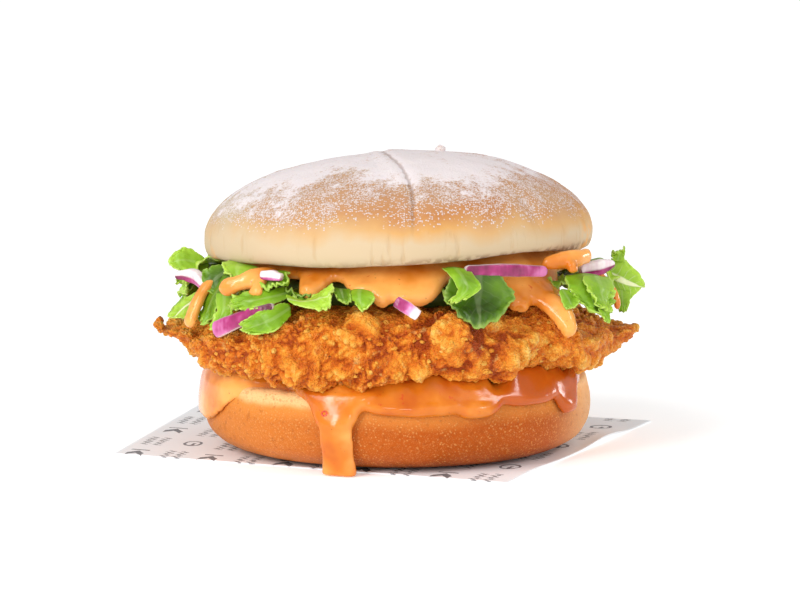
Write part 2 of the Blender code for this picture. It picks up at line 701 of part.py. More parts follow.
def make_leaf(name, spec, chicken_tree, sauce_tree, clearance):
    """A thin wavy leaf that leaves the core at its azimuth and lies over the chicken."""
    azimuth, twist = math.radians(spec[0]), math.radians(spec[1])
    width, root, knee_out, knee_up, tip_out, tip_up, depth, waves, phase = spec[2:]
    forward = outward(azimuth)
    sideways = outward(azimuth + math.pi / 2)
    bm = bmesh.new()
    bmesh.ops.create_grid(bm, x_segments=LEAF_CELLS[0], y_segments=LEAF_CELLS[1], size=1)
    for vertex in bm.verts:
        u, v = vertex.co.x, (vertex.co.y + 1) / 2
        taper = 0.62 + 0.38 * math.sin(math.pi * min(1.0, v * 0.9))
        rounding = 0.16 * u * u * smooth(0.4, 1.0, v)
        along = v * (1 - rounding + 0.06 * noise.noise(Vector((u * 2.5, phase, v))))
        shares = (1 - along) ** 2, 2 * along * (1 - along), along**2
        out = shares[0] * LEAF_ROOT_RADIUS + shares[1] * knee_out + shares[2] * tip_out
        up = shares[0] * root + shares[1] * knee_up + shares[2] * tip_up
        opened = smooth(0.15, 0.7, v)
        turn = twist * smooth(0.35, 0.8, v)
        lateral = sideways * math.cos(turn) + Vector((0, 0, math.sin(turn)))
        across = -forward * math.sin(turn) * 0.25 + Vector((0, 0, math.cos(turn)))
        ruffle = depth * opened * math.sin(u * waves * math.pi + phase) * (0.6 + 0.4 * abs(u))
        place = forward * out + lateral * (u * width / 2 * taper)
        place.z += up
        place += across.normalized() * ruffle
        above = Vector((place.x, place.y, 0.1))
        hit = chicken_tree.ray_cast(above, Vector((0, 0, -1)))[0]
        floor = hit.z + clearance if hit else 0
        place.z = min(max(place.z, floor), max(floor, ceiling_at(place)))
        place = clear_of_sauce(sauce_tree, place)
        vertex.co = settled(place, (sauce_tree, chicken_tree), LEAF_CLEARANCE)
    bmesh.ops.triangulate(bm, faces=bm.faces)
    leaf = add_object(name, bm)
    thick = leaf.modifiers.new("Thickness", "SOLIDIFY")
    thick.thickness = LEAF_THICKNESS
    thick.offset = 0
    return leaf


def back_leaf(degrees, picker):
    """A leaf for the far side, drawn within the range of the front ones."""
    return (
        degrees,
        picker.uniform(-20, 30),
        picker.uniform(0.0150, 0.0190),
        picker.uniform(0.0475, 0.0490),
        picker.uniform(0.0550, 0.0575),
        picker.uniform(0.0440, 0.0500),
        picker.uniform(0.0550, 0.0600),
        picker.choice((0.0400, 0.0430, 0.0470)),
        picker.uniform(0.0014, 0.0022),
        picker.uniform(1.2, 2.0),
        picker.uniform(0, 6.2),
    )


def make_lettuce(chicken_tree, sauce_tree, material):
    picker = random.Random(4)
    pieces = [round_solid("core", 30, lettuce_core_section)]
    specs = list(LEAVES) + [back_leaf(degrees, picker) for degrees in BACK_LEAVES]
    for number, spec in enumerate(specs):
        clearance = LEAF_CLEARANCE + 0.0009 * (number % 3)
        pieces.append(make_leaf(f"leaf_{number}", spec, chicken_tree, sauce_tree, clearance))
    return fuse("lettuce", pieces, material)


def make_onion(number, spec, trees, material):
    """A strip cut from an onion ring, swept between its two ends."""
    start = math.radians(spec[0])
    finish = math.radians(spec[3])
    tall, thick, bow = spec[6:]
    steps = 6
    bm = bmesh.new()
    rings = []
    for i in range(steps + 1):
        share = i / steps
        azimuth = start + (finish - start) * share
        radius = spec[1] + (spec[4] - spec[1]) * share + bow * math.sin(math.pi * share)
        height = spec[2] + (spec[5] - spec[2]) * share
        narrow = 0.86 + 0.14 * math.sin(math.pi * share)
        half, edge = thick / 2, tall / 2 * narrow
        centre = settled(polar(azimuth, radius, height), trees, math.hypot(half, edge) + GAP)
        ring = []
        for out, up in ((-half, -edge), (half, -edge), (half * 0.8, edge), (-half, edge)):
            ring.append(bm.verts.new(centre + outward(azimuth) * out + Vector((0, 0, up))))
        rings.append(ring)
    for here, after in zip(rings, rings[1:]):
        for k in range(4):
            bm.faces.new((here[k], here[k - 1], after[k - 1], after[k]))
    bm.faces.new(rings[0])
    bm.faces.new(rings[-1])
    onion = add_object(f"onion_{number}", bm, material)
    edge = onion.modifiers.new("Edge", "BEVEL")
    edge.width = ONION_EDGE
    edge.segments = 1


def clear_scene():
    for old in list(bpy.data.objects):
        bpy.data.objects.remove(old)


def main():
    clear_scene()
    crust = principled("crust", (0.72, 0.38, 0.13), 0.55)
    sauce = principled("sauce", (0.86, 0.34, 0.09), 0.25)
    onion = principled("onion", (0.55, 0.10, 0.38), 0.35)
    make_paper(principled("paper", (0.86, 0.85, 0.86), 0.6))
    make_heel(crust)
    make_heel_sauce(sauce)
    chicken = make_chicken(principled("coating", (0.62, 0.27, 0.07), 0.5))
    chicken_tree = tree_of(chicken)
    sauce_tree = tree_of(make_top_sauce(chicken_tree, sauce))
    leaf = principled("leaf", (0.27, 0.52, 0.06), 0.4)
    lettuce_tree = tree_of(make_lettuce(chicken_tree, sauce_tree, leaf))
    crown_tree = tree_of(make_crown(crust))
    trees = (chicken_tree, lettuce_tree, sauce_tree, crown_tree)
    for number, spec in enumerate(ONIONS, start=1):
        make_onion(number, spec, trees, onion)


main()
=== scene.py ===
import random
from math import atan2, cos, dist, exp, hypot, pi, radians, sin, sqrt

import bmesh
import bpy
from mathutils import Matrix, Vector
from mathutils.bvhtree import BVHTree
from mathutils.noise import noise, voronoi


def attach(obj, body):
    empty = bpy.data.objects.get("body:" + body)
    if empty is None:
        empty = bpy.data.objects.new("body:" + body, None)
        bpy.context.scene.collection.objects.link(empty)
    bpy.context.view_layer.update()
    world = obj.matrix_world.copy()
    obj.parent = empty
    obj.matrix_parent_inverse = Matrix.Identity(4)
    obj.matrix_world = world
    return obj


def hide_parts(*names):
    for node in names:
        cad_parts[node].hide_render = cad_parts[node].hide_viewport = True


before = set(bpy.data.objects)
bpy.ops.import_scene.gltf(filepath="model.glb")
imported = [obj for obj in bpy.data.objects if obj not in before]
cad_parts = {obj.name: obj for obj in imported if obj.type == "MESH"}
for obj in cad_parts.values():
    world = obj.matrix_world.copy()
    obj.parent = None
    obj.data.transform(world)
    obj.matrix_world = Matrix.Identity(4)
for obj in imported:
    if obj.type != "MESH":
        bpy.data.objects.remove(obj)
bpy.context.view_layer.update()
print("burger: packed model loaded")


# small helpers: directions, blends and curves
def outward(azimuth):
    return Vector((sin(azimuth), -cos(azimuth), 0))


def polar(azimuth, radius, height):
    return outward(azimuth) * radius + Vector((0, 0, height))


def azimuthOf(point):
    return atan2(point.x, -point.y)


def smooth(low, high, value):
    share = max(0.0, min(1.0, (value - low) / (high - low)))
    return share * share * (3 - 2 * share)


def angleBetween(a, b):
    return abs((a - b + pi) % (2 * pi) - pi)


def bump(distance, reach):
    return exp(-((distance / reach) ** 2))


def beside(azimuth, degrees, reach):
    # 1 at this azimuth in degrees and less on both sides, by a reach in radians
    return bump(angleBetween(azimuth, radians(degrees)), reach)


def superellipse(share, power):
    # from (1, 0) at share 0 to (0, 1) at share 1
    angle = share * pi / 2
    return cos(angle) ** (2 / power), sin(angle) ** (2 / power)


def wander(place):
    # a smooth random vector, each part between -1 and 1
    shifts = ((9.3, 1.5, 7.9), (2.1, 6.4, 3.8), (5.7, 8.2, 0.6))
    return Vector([noise(place + Vector(shift)) for shift in shifts])


def quarter(power, shares, inner, outer, level, end):
    # part of a rounded (radius, height) outline: outer at this level at share 0, inner at the end at share 1
    points = []
    for share in shares:
        across, up = superellipse(share, power)
        points.append((inner + (outer - inner) * across, level + (end - level) * up))
    return points


def curveThrough(points, share):
    # a smooth line through the points, at this share of the way
    last = len(points) - 1
    i = max(0, min(int(share * last), last - 1))
    t = share * last - i
    here, after = points[i], points[i + 1]
    before = points[i - 1] if i > 0 else here * 2 - after
    beyond = points[i + 2] if i + 2 <= last else after * 2 - here
    bend = (before * 2 - here * 5 + after * 4 - beyond) * t + ((here - after) * 3 + beyond - before) * t * t
    return here + (after - before + bend) * (t * 0.5)


def alongWay(points, share):
    # the middle of a thread at this share, the way on, and the way out from the roll's axis
    centre = curveThrough(points, share)
    ahead = (curveThrough(points, share + 0.02) - curveThrough(points, share - 0.02)).normalized()
    out = outward(azimuthOf(centre))
    return centre, ahead, (out - ahead * out.dot(ahead)).normalized()


def tone(*screen):
    # a screen colour of 0 to 255 as the linear one that the shader takes
    shares = [value / 255 for value in screen]
    return (*[s / 12.92 if s <= 0.04045 else ((s + 0.055) / 1.055) ** 2.4 for s in shares], 1.0)


# from a bmesh to a named piece on the burger's body
def linked(name, data):
    made = bpy.data.objects.new(name, data)
    bpy.context.scene.collection.objects.link(made)
    return made


def meshFrom(name, bm):
    mesh = bpy.data.meshes.new(name)
    bm.to_mesh(mesh)
    bm.free()
    return mesh


def pieceFrom(name, bm, material, replaced=()):
    mesh = meshFrom(name, bm)
    mesh.shade_smooth()
    mesh.materials.append(material)
    piece = linked(name, mesh)
    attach(piece, "root")
    if replaced:
        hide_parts(*replaced)
    return piece


def addThickness(piece, thickness):
    thick = piece.modifiers.new("Thickness", "SOLIDIFY")
    thick.thickness = thickness
    thick.offset = 0


def nodeMesh(name):
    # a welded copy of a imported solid
    bm = bmesh.new()
    bm.from_mesh(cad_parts[name].data)
    bmesh.ops.remove_doubles(bm, verts=bm.verts, dist=1e-6)
    return bm


def voxelled(bm, size):
    # one even skin round everything in the bmesh
    work = linked("voxelWork", meshFrom("voxelWork", bm))
    mesh = work.data
    remesh = work.modifiers.new("Remesh", "REMESH")
    remesh.mode = "VOXEL"
    remesh.voxel_size = size
    bpy.context.view_layer.update()
    skin = bmesh.new()
    skin.from_object(work, bpy.context.evaluated_depsgraph_get())
    bpy.data.objects.remove(work)
    bpy.data.meshes.remove(mesh)
    return skin


def relax(bm, times):
    axes = {"use_axis_x": True, "use_axis_y": True, "use_axis_z": True}
    for _ in range(times):
        bmesh.ops.smooth_vert(bm, verts=bm.verts, factor=0.5, **axes)


def surface(bm):
    # every vertex with its place and normal as they are now
    bm.normal_update()
    return [(vertex, vertex.co.copy(), vertex.normal.copy()) for vertex in bm.verts]


def closedSkin(bm, gap):
    # welded, with its open ends filled and its faces turned outwards
    bmesh.ops.remove_doubles(bm, verts=bm.verts, dist=gap)
    bmesh.ops.holes_fill(bm, edges=[edge for edge in bm.edges if edge.is_boundary], sides=0)
    bmesh.ops.recalc_face_normals(bm, faces=bm.faces)
    return bm


def spunShape(profile, steps):
    # a (radius, height) line turned round the roll's axis
    bm = bmesh.new()
    line = [bm.verts.new((radius, 0, height)) for radius, height in profile]
    edges = [bm.edges.new(pair) for pair in zip(line, line[1:])]
    turn = {"cent": (0, 0, 0), "axis": (0, 0, 1), "angle": 2 * pi, "steps": steps, "use_merge": True}
    bmesh.ops.spin(bm, geom=line + edges, **turn)
    return closedSkin(bm, 1e-6)


def wrappedSection(columns, rows, section):
    # a closed skin: section(azimuth) gives rows + 1 (radius, height) points, pole to pole
    bm = bmesh.new()
    bmesh.ops.create_grid(bm, x_segments=columns, y_segments=rows, size=1)
    lines = [section(2 * pi * i / columns) for i in range(columns)]
    for vertex, u, v in spread(bm):
        column = round(u * columns) % columns
        vertex.co = polar(2 * pi * column / columns, *lines[column][round(v * rows)])
    return closedSkin(bm, 1e-6)


def walk(points, distance):
    # the point this far along a (radius, height) line, and the normal on its left
    for a, b in zip(points, points[1:]):
        step = dist(a, b)
        if distance <= step or b == points[-1]:
            share = distance / step
            spot = (a[0] + (b[0] - a[0]) * share, a[1] + (b[1] - a[1]) * share)
            return spot, ((a[1] - b[1]) / step, (b[0] - a[0]) / step)
        distance -= step


def evenAt(path, share):
    # the (radius, height) at this share of a line's length
    whole = sum(dist(a, b) for a, b in zip(path, path[1:]))
    return walk(path, min(share, 0.9999) * whole)[0]


def evenly(points, count):
    # the same line with its points spread evenly
    step = sum(dist(a, b) for a, b in zip(points, points[1:])) / (count - 1)
    return [walk(points, step * i)[0] for i in range(count - 1)] + [points[-1]]


def sheetGrid(across, along):
    # a flat unit sheet with its own map, u across and v along
    bm = bmesh.new()
    bmesh.ops.create_grid(bm, x_segments=across, y_segments=along, size=1)
    own = bm.loops.layers.uv.new("own")
    for face in bm.faces:
        for loop in face.loops:
            loop[own].uv = ((loop.vert.co.x + 1) / 2, (loop.vert.co.y + 1) / 2)
    return bm


def spread(bm):
    # each vertex of a unit sheet with its two shares of the way
    return [(vertex, (vertex.co.x + 1) / 2, (vertex.co.y + 1) / 2) for vertex in bm.verts]


def sweptTube(around, along, skinPoint):
    # a closed tube whose skin is skinPoint(turn, share), with its own map
    bm = sheetGrid(around, along)
    for vertex, turn, share in spread(bm):
        vertex.co = skinPoint(turn * 2 * pi, share)
    return closedSkin(bm, 1e-7)


def joined(whole, part):
    # the part's mesh added to the whole, with its map and attributes
    mesh = meshFrom("joinWork", part)
    whole.from_mesh(mesh)
    bpy.data.meshes.remove(mesh)


# shaders: a wire carries a value from a socket, and sums on wires become Math nodes
class Wire:
    def __init__(self, socket):
        self.socket = socket
        self.tree = socket.id_data

    def math(self, operation, *others):
        made = addNode(self.tree, "Math", dict(enumerate((self, *others))), operation=operation)
        return Wire(made.outputs[0])

    def __add__(self, other):
        return self.math("ADD", other)

    def __sub__(self, other):
        return self.math("SUBTRACT", other)

    def __rsub__(self, other):
        return self.math("MULTIPLY_ADD", -1.0, other)

    def __mul__(self, other):
        return self.math("MULTIPLY", other)

    def __truediv__(self, other):
        return self.math("DIVIDE", other)

    def __lt__(self, other):
        return self.math("LESS_THAN", other)

    def __abs__(self):
        return self.math("ABSOLUTE")


def plug(node, inputs):
    for name, value in inputs.items():
        if isinstance(value, Wire):
            node.id_data.links.new(value.socket, node.inputs[name])
        else:
            node.inputs[name].default_value = value


def addNode(tree, kind, inputs=None, **settings):
    made = tree.nodes.new("ShaderNode" + kind)
    for name, value in settings.items():
        setattr(made, name, value)
    plug(made, inputs or {})
    return made


def parts(vector):
    made = addNode(vector.tree, "SeparateXYZ", {"Vector": vector})
    return [Wire(socket) for socket in made.outputs]


def cloudy(place, scale, detail=3.0, roughness=0.5, output="Fac"):
    inputs = {"Vector": place, "Scale": scale, "Detail": detail, "Roughness": roughness}
    return Wire(addNode(place.tree, "TexNoise", inputs).outputs[output])


def cells(place, scale, feature="F1"):
    # how far the middle of the nearest cell is, and each cell's own colour
    made = addNode(place.tree, "TexVoronoi", {"Vector": place, "Scale": scale}, feature=feature)
    return Wire(made.outputs["Distance"]), Wire(made.outputs["Color"])


def stretched(place, *scale):
    return Wire(addNode(place.tree, "Mapping", {"Vector": place, "Scale": scale}).outputs["Vector"])


def vectorSum(operation, first, second, output="Vector"):
    made = addNode(first.tree, "VectorMath", {0: first, 1: second}, operation=operation)
    return Wire(made.outputs[output])


def attribute(tree, name):
    return Wire(addNode(tree, "Attribute", attribute_name=name).outputs["Fac"])


def ownMap(tree):
    return Wire(addNode(tree, "UVMap", uv_map="own").outputs["UV"])


def larger(first, second):
    return first.math("MAXIMUM", second)


def span(value, low, high, interpolation="SMOOTHSTEP"):
    # 0 where the value is at low, 1 where it is at high
    inputs = {"Value": value, "From Min": low, "From Max": high}
    return Wire(addNode(value.tree, "MapRange", inputs, interpolation_type=interpolation).outputs["Result"])


def mixed(share, first, second):
    # a colour mix, where sockets 6 and 7 take the two colours
    made = addNode(share.tree, "Mix", {0: share, 6: first, 7: second}, data_type="RGBA")
    return Wire(made.outputs[2])


def colourRamp(value, stops):
    made = addNode(value.tree, "ValToRGB", {"Fac": value})
    elements = made.color_ramp.elements
    elements[0].position, elements[0].color = stops[0]
    elements[1].position, elements[1].color = stops[-1]
    for position, colour in stops[1:-1]:
        elements.new(position).color = colour
    return Wire(made.outputs["Color"])


def relief(height, distance, strength=1.0):
    inputs = {"Height": height, "Distance": distance, "Strength": strength}
    return Wire(addNode(height.tree, "Bump", inputs).outputs["Normal"])


def maskGroup(name, inputs):
    # a group that gives a mask; an input without a value takes a vector
    group = bpy.data.node_groups.new(name, "ShaderNodeTree")
    for label, value in inputs.items():
        kind = "NodeSocketVector" if value is None else "NodeSocketFloat"
        socket = group.interface.new_socket(label, in_out="INPUT", socket_type=kind)
        if value is not None:
            socket.default_value = value
    group.interface.new_socket("Mask", in_out="OUTPUT", socket_type="NodeSocketFloat")
    given = group.nodes.new("NodeGroupInput").outputs
    return group, [Wire(given[label]) for label in inputs], group.nodes.new("NodeGroupOutput")


def makePatches():
    # uneven patches: 0 under Low and 1 over High of a noise of this scale
    inputs = {"Vector": None, "Scale": 100.0, "Low": 0.4, "High": 0.6}
    group, (place, scale, low, high), result = maskGroup("unevenPatches", inputs)
    plug(result, {"Mask": span(cloudy(place, scale, 3.0, 0.55), low, high)})
    return group


patchesGroup = makePatches()


def patches(place, scale, low, high):
    inputs = {"Vector": place, "Scale": scale, "Low": low, "High": high}
    return Wire(addNode(place.tree, "Group", inputs, node_tree=patchesGroup).outputs["Mask"])


def newMaterial(name, roughness, specular=0.5, under=0.0, depth=(0.001, 0.001, 0.001)):
    # under is the share of light that goes below the skin, to this depth for red, green and blue
    material = bpy.data.materials.new(name)
    material.use_nodes = True
    shader = material.node_tree.nodes["Principled BSDF"]
    plug(shader, {"Roughness": roughness, "Specular IOR Level": specular, "Subsurface Weight": under,
                  "Subsurface Radius": depth, "Subsurface Scale": 1.0})
    coords = Wire(addNode(material.node_tree, "TexCoord").outputs["Object"])
    return material, shader, coords


# camera, floor and light
studio = {
    "camera": (0.0006, -0.600, 0.105), "aim": (0.0006, 0.0, 0.0415), "lens": 93.96, "burger": (0, 0, 0.04),
    "world": 0.55, "worldSeen": 1.05, "floor": 0.99, "floorGlow": 0.26, "floorSize": 6.0, "floorDrop": 0.0001,
    # place, strength and angle of the two broad suns
    "suns": {"keySun": ((-0.72, -0.60, 0.75), 1.15, 35), "fillSun": ((0.55, -0.75, 0.28), 0.60, 60)},
    # place, width, height and watts of the lamps that shine in the sauce
    "lamps": {"window": ((-0.36, -0.50, 0.24), 0.08, 0.40, 1.35),
              "strip": ((0.45, -0.25, 0.40), 0.10, 0.10, 0.4),
              "frontLamp": ((-0.06, -0.62, 0.26), 0.06, 0.12, 0.25),
              "edgeLamp": ((0.55, 0.16, 0.12), 0.10, 0.10, 0.4)},
}


def aimed(name, data, place, aim):
    made = linked(name, data)
    made.location = place
    made.rotation_euler = (Vector(aim) - Vector(place)).to_track_quat("-Z", "Y").to_euler()
    return made


def makeStudio():
    scene = bpy.context.scene
    lens = bpy.data.cameras.new("burgerView")
    lens.lens = studio["lens"]
    lens.clip_start = 0.01
    scene.camera = aimed("burgerView", lens, studio["camera"], studio["aim"])
    scene.view_settings.view_transform = "Standard"
    for name, (place, strength, angle) in studio["suns"].items():
        sun = bpy.data.lights.new(name, "SUN")
        sun.energy = strength
        sun.angle = radians(angle)
        aimed(name, sun, place, studio["burger"])
    for name, (place, width, height, watts) in studio["lamps"].items():
        lamp = bpy.data.lights.new(name, "AREA")
        lamp.shape = "RECTANGLE"
        lamp.size = width
        lamp.size_y = height
        lamp.energy = watts
        aimed(name, lamp, place, studio["burger"])
    scene.world = bpy.data.worlds.new("paleStudio")
    scene.world.use_nodes = True
    tree = scene.world.node_tree
    seen = Wire(addNode(tree, "LightPath").outputs["Is Camera Ray"])
    strength = seen * (studio["worldSeen"] - studio["world"])
    plug(tree.nodes["Background"], {"Color": (1, 1, 1, 1), "Strength": strength + studio["world"]})
    bm = bmesh.new()
    bmesh.ops.create_grid(bm, x_segments=1, y_segments=1, size=studio["floorSize"])
    bmesh.ops.translate(bm, verts=bm.verts, vec=(0, 0, -studio["floorDrop"]))
    floor = linked("floor", meshFrom("floor", bm))
    material, shader, _ = newMaterial("paleFloor", 0.6, 0.0)
    white = (1, 1, 1, 1)
    grey = [studio["floor"]] * 3 + [1]
    plug(shader, {"Base Color": grey, "Emission Color": white, "Emission Strength": studio["floorGlow"]})
    floor.data.materials.append(material)


makeStudio()
print("burger: studio ready")


# the roll: crown and heel
roll = {
    "radius": 0.0560, "heelBase": 0.00065, "heelTop": 0.0216, "heelFoot": 0.0415, "heelBulge": 0.0130,
    "heelPower": 2.3, "heelRim": 0.0022, "crownBase": 0.0552, "crownTop": 0.0850, "crownBulge": 0.0610,
    "crownEdge": 0.0533, "crownPower": 2.06, "underPower": 2.8, "riseToRight": 0.0175, "edgeLift": 0.0011,
    "edgeRise": 0.030, "leftDrop": 0.0011, "creaseDepth": 0.0006, "creaseWidth": 0.0013,
    "creaseStart": -0.0045, "creaseSwing": 0.0085, "sag": 0.0008, "pucker": 0.00010,
    # azimuth, reach and depth of the folds in the crown's side
    "folds": ((43, 0.035, 0.0008), (4.5, 0.02, 0.0004)),
    # a baked crumb that stands on top
    "crumb": 0.0016, "crumbPlace": (0.0121, 0.0, 0.0848),
}


def rollSwell(azimuth):
    return 1 + 0.010 * sin(2 * azimuth + 0.6) + 0.006 * sin(3 * azimuth + 2.0)


def crownProfile():
    radius, bulge, edge = roll["radius"], roll["crownBulge"], roll["crownEdge"]
    upwards, downwards = [1 - i / 80 for i in range(81)], [i / 14 for i in range(1, 15)]
    dome = quarter(roll["crownPower"], upwards, 0, radius, bulge, roll["crownTop"])
    under = quarter(roll["underPower"], downwards, edge, radius, bulge, roll["crownBase"])
    face = [(edge * share, roll["crownBase"]) for share in (0.96, 0.88, 0.75, 0.5, 0.25, 0)]
    return evenly(dome, 104) + under + face


def edgeShift(x):
    # how much higher the crown's lower edge is than on an even roll
    lift = roll["edgeLift"] + x * roll["edgeRise"] + 0.0008 * smooth(-0.020, -0.036, x)
    return lift + 0.0009 * bump(x - 0.032, 0.010) - 0.0012 * smooth(0.040, 0.052, x)


def creaseOffset(point):
    return point.x - (roll["creaseStart"] + roll["creaseSwing"] * smooth(0.0, 0.050, -point.y))


def makeCrown(material):
    bm = spunShape(crownProfile(), 260)
    bulge = roll["crownBulge"]
    for vertex, place, normal in surface(bm):
        azimuth = azimuthOf(place)
        swell = rollSwell(azimuth)
        above = smooth(bulge - 0.001, bulge + 0.012, place.z)
        crease = roll["creaseDepth"] * bump(creaseOffset(place), roll["creaseWidth"])
        lowSide = 1 - smooth(0.070, 0.078, place.z)
        fold = sum(depth * beside(azimuth, middle, reach) * lowSide for middle, reach, depth in roll["folds"])
        sag = roll["sag"] * noise(place * 45 + Vector((3, 1, 7))) + 0.00022 * noise(place * 190)
        stand = (sag - crease - fold) * above + 0.00025 * noise(place * 110) * (1 - above)
        stand += roll["pucker"] * noise(Vector((place.x * 700, place.y * 700, place.z * 420)))
        vertex.co = Vector((place.x * swell, place.y * swell, place.z)) + normal * stand
        vertex.co.z += place.x * roll["riseToRight"]
        lower = 1 - smooth(roll["crownBase"], bulge + 0.004, place.z)
        leftSide = smooth(0.001, -0.006, creaseOffset(place))
        vertex.co.z += edgeShift(place.x) * lower - roll["leftDrop"] * above * leftSide
    crumb = bmesh.ops.create_icosphere(bm, subdivisions=2, radius=roll["crumb"])["verts"]
    for vertex in crumb:
        vertex.co *= 1 + 0.25 * noise(vertex.co * 2500)
    bmesh.ops.translate(bm, verts=crumb, vec=roll["crumbPlace"])
    bmesh.ops.recalc_face_normals(bm, faces=bm.faces)
    return pieceFrom("bunCrown", bm, material, ("bun_crown",))


def heelSide(azimuth):
    # the heel's outline from its cut face, over the rim and down to the foot
    radius, rounding, top = roll["radius"] * rollSwell(azimuth + 1.0), roll["heelRim"], roll["heelTop"]
    rim, bulge = radius - 0.0012, roll["heelBulge"]
    points = quarter(2, [1 - i / 8 for i in range(9)], rim - rounding, rim, top - rounding, top)
    points.append((radius - 0.0002, bulge + 0.002))
    down = [i / 24 for i in range(25)]
    return points + quarter(roll["heelPower"], down, roll["heelFoot"], radius, bulge, roll["heelBase"])


def makeHeel(material):
    def section(azimuth):
        side = evenly(heelSide(azimuth), 46)
        rim = side[0][0]
        top = [(rim * share, roll["heelTop"]) for share in (0, 0.3, 0.6, 0.85, 0.95)]
        foot = [(roll["heelFoot"] * share, roll["heelBase"]) for share in (0.8, 0.4, 0)]
        return top + side + foot

    bm = wrappedSection(240, 53, section)
    for vertex, place, normal in surface(bm):
        wave = 0.00035 * noise(place * 60 + Vector((4, 8, 1))) + 0.00012 * noise(place * 260)
        vertex.co = place + normal * wave * smooth(0.0006, 0.003, place.z)
    return pieceFrom("bunHeel", bm, material, ("bun_heel",))


crust = {
    "cream": tone(198, 176, 143), "creamDeep": tone(186, 147, 100), "golden": tone(206, 150, 76),
    "brown": tone(186, 114, 46), "tan": tone(182, 122, 78), "flour": tone(232, 224, 226),
    "stain": tone(232, 160, 66), "creaseShadeAndToast": tone(120, 78, 52), "heelBrown": tone(172, 78, 10),
    "heelDark": tone(136, 56, 6), "heelLight": tone(220, 138, 58), "heelPale": tone(240, 194, 134),
    "freckle": tone(228, 158, 88),
}


def crownCrust():
    material, shader, coords = newMaterial("flouredCrust", 0.72, 0.25, 0.06, (0.004, 0.002, 0.001))
    x, y, z = parts(coords)
    untilted = x * -roll["riseToRight"] + z
    streak = cloudy(stretched(coords, 120.0, 120.0, 14.0), 1.0)
    # the bake: cream side, golden band that is stronger towards the right, tan top
    level = untilted + streak * 0.008 + cloudy(coords, 42.0, 4.0) * 0.009
    baked = colourRamp(span(level, 0.0600, 0.0900, "LINEAR"), [
        (0.00, crust["golden"]), (0.05, crust["creamDeep"]), (0.14, crust["cream"]), (0.34, crust["cream"]),
        (0.47, crust["golden"]), (0.60, crust["brown"]), (0.74, crust["tan"]), (1.00, crust["tan"])])
    strength = span(x, -0.050, 0.035, "LINEAR") * 0.55 + patches(coords, 26.0, 0.36, 0.62) * 0.45
    colour = mixed(strength, crust["cream"], baked)
    # flour lies as fine grains, closed on the top and thinning out down the side
    grain = cloudy(coords, 1250.0, 3.0, 0.8)
    clump = cloudy(coords, 330.0, 2.0)
    cover = span(untilted, 0.0620, 0.0800, "LINEAR") * 1.10 + cloudy(coords, 38.0) * 2.0 + streak * 1.2
    cover = (cover - 1.58) * span(untilted, 0.0635, 0.0695)
    closed = span(cover - grain * 1.6 - clump * 0.9, -0.65, -0.20)
    speck, chance = cells(coords, 1900.0)
    dotted = span(cover * 1.38 - parts(chance)[0], -0.02, 0.10) * span(speck, 0.62, 0.30)
    dust = larger(closed, dotted * 0.85)
    colour = mixed(dust * 0.90, colour, crust["flour"])
    # upright wrinkles in the side, fine and faint, with painted shade in their grooves
    wrinkle = cloudy(stretched(coords, 420.0, 420.0, 40.0), 1.0)
    lined = span(wrinkle, 0.56, 0.72) * span(untilted, 0.0690, 0.0620)
    colour = mixed(lined * 0.35, colour, crust["creamDeep"])
    # the crease, a thin dark line from back to front over the dome: painted shade in its groove
    offset = x - span(y, 0.0, -0.050) * roll["creaseSwing"] - roll["creaseStart"]
    away = abs(offset + clump * 0.0014 - 0.0007)
    line = span(away, 0.00070, 0.00010) * span(z, 0.064, 0.070)
    colour = mixed(line * 0.40, colour, crust["creaseShadeAndToast"])
    # a toasted line of crumbs along the lower edge
    toasted = span(x * -0.030 + untilted, 0.0585, 0.0566) * patches(coords, 420.0, 0.42, 0.56)
    toasted = toasted * (span(x, -0.01, 0.02) * 0.6 + 0.25)
    colour = mixed(toasted * 0.8, colour, crust["creaseShadeAndToast"])
    # sauce wiped along the lower edge at the right and the far left
    right = vectorSum("DISTANCE", coords, (0.0530, -0.0170, 0.0598), "Value")
    left = vectorSum("DISTANCE", coords, (-0.0490, -0.0170, 0.0560), "Value")
    wiped = larger(span(right, 0.0090, 0.0020), span(left, 0.0050, 0.0010))
    colour = mixed(wiped * patches(coords, 240.0, 0.38, 0.60) * 0.8, colour, crust["stain"])
    height = dust * grain - line * 0.6 - lined * 0.5
    plug(shader, {"Base Color": colour, "Normal": relief(height, 0.00035, 0.9)})
    return material


def heelCrust():
    material, shader, coords = newMaterial("goldenCrust", 0.50, 0.14, 0.05, (0.003, 0.0012, 0.0005))
    x, _, z = parts(coords)
    level = cloudy(coords, 55.0, 4.0) * 0.006 + z
    colour = colourRamp(span(level, 0.003, 0.025, "LINEAR"), [
        (0.00, crust["heelDark"]), (0.22, crust["heelBrown"]), (0.58, crust["heelBrown"]),
        (0.80, crust["heelLight"]), (0.95, crust["heelPale"]), (1.00, crust["heelPale"])])
    # paler at the right and, less so, at the left
    colour = mixed(span(x, 0.040, 0.056) * 0.60, colour, crust["heelPale"])
    colour = mixed(span(x, 0.010, -0.052) * 0.60, colour, crust["heelLight"])
    bare = span(level, 0.0195, 0.0220) * span(x, -0.010, -0.026)
    colour = mixed(bare * 0.85, colour, crust["heelPale"])
    # freckles: fine light blisters, denser in some places
    dots = span(cells(coords, 1150.0)[0], 0.42, 0.12) * patches(coords, 160.0, 0.28, 0.52)
    freckles = larger(dots, span(cells(coords, 2300.0)[0], 0.45, 0.10) * 0.60)
    colour = mixed(freckles * 0.62, colour, crust["freckle"])
    colour = mixed(patches(coords, 700.0, 0.56, 0.70) * 0.30, colour, crust["heelDark"])
    plug(shader, {"Base Color": colour, "Normal": relief(freckles, 0.00022, 0.7)})
    return material


makeCrown(crownCrust())
makeHeel(heelCrust())
print("burger: roll baked")


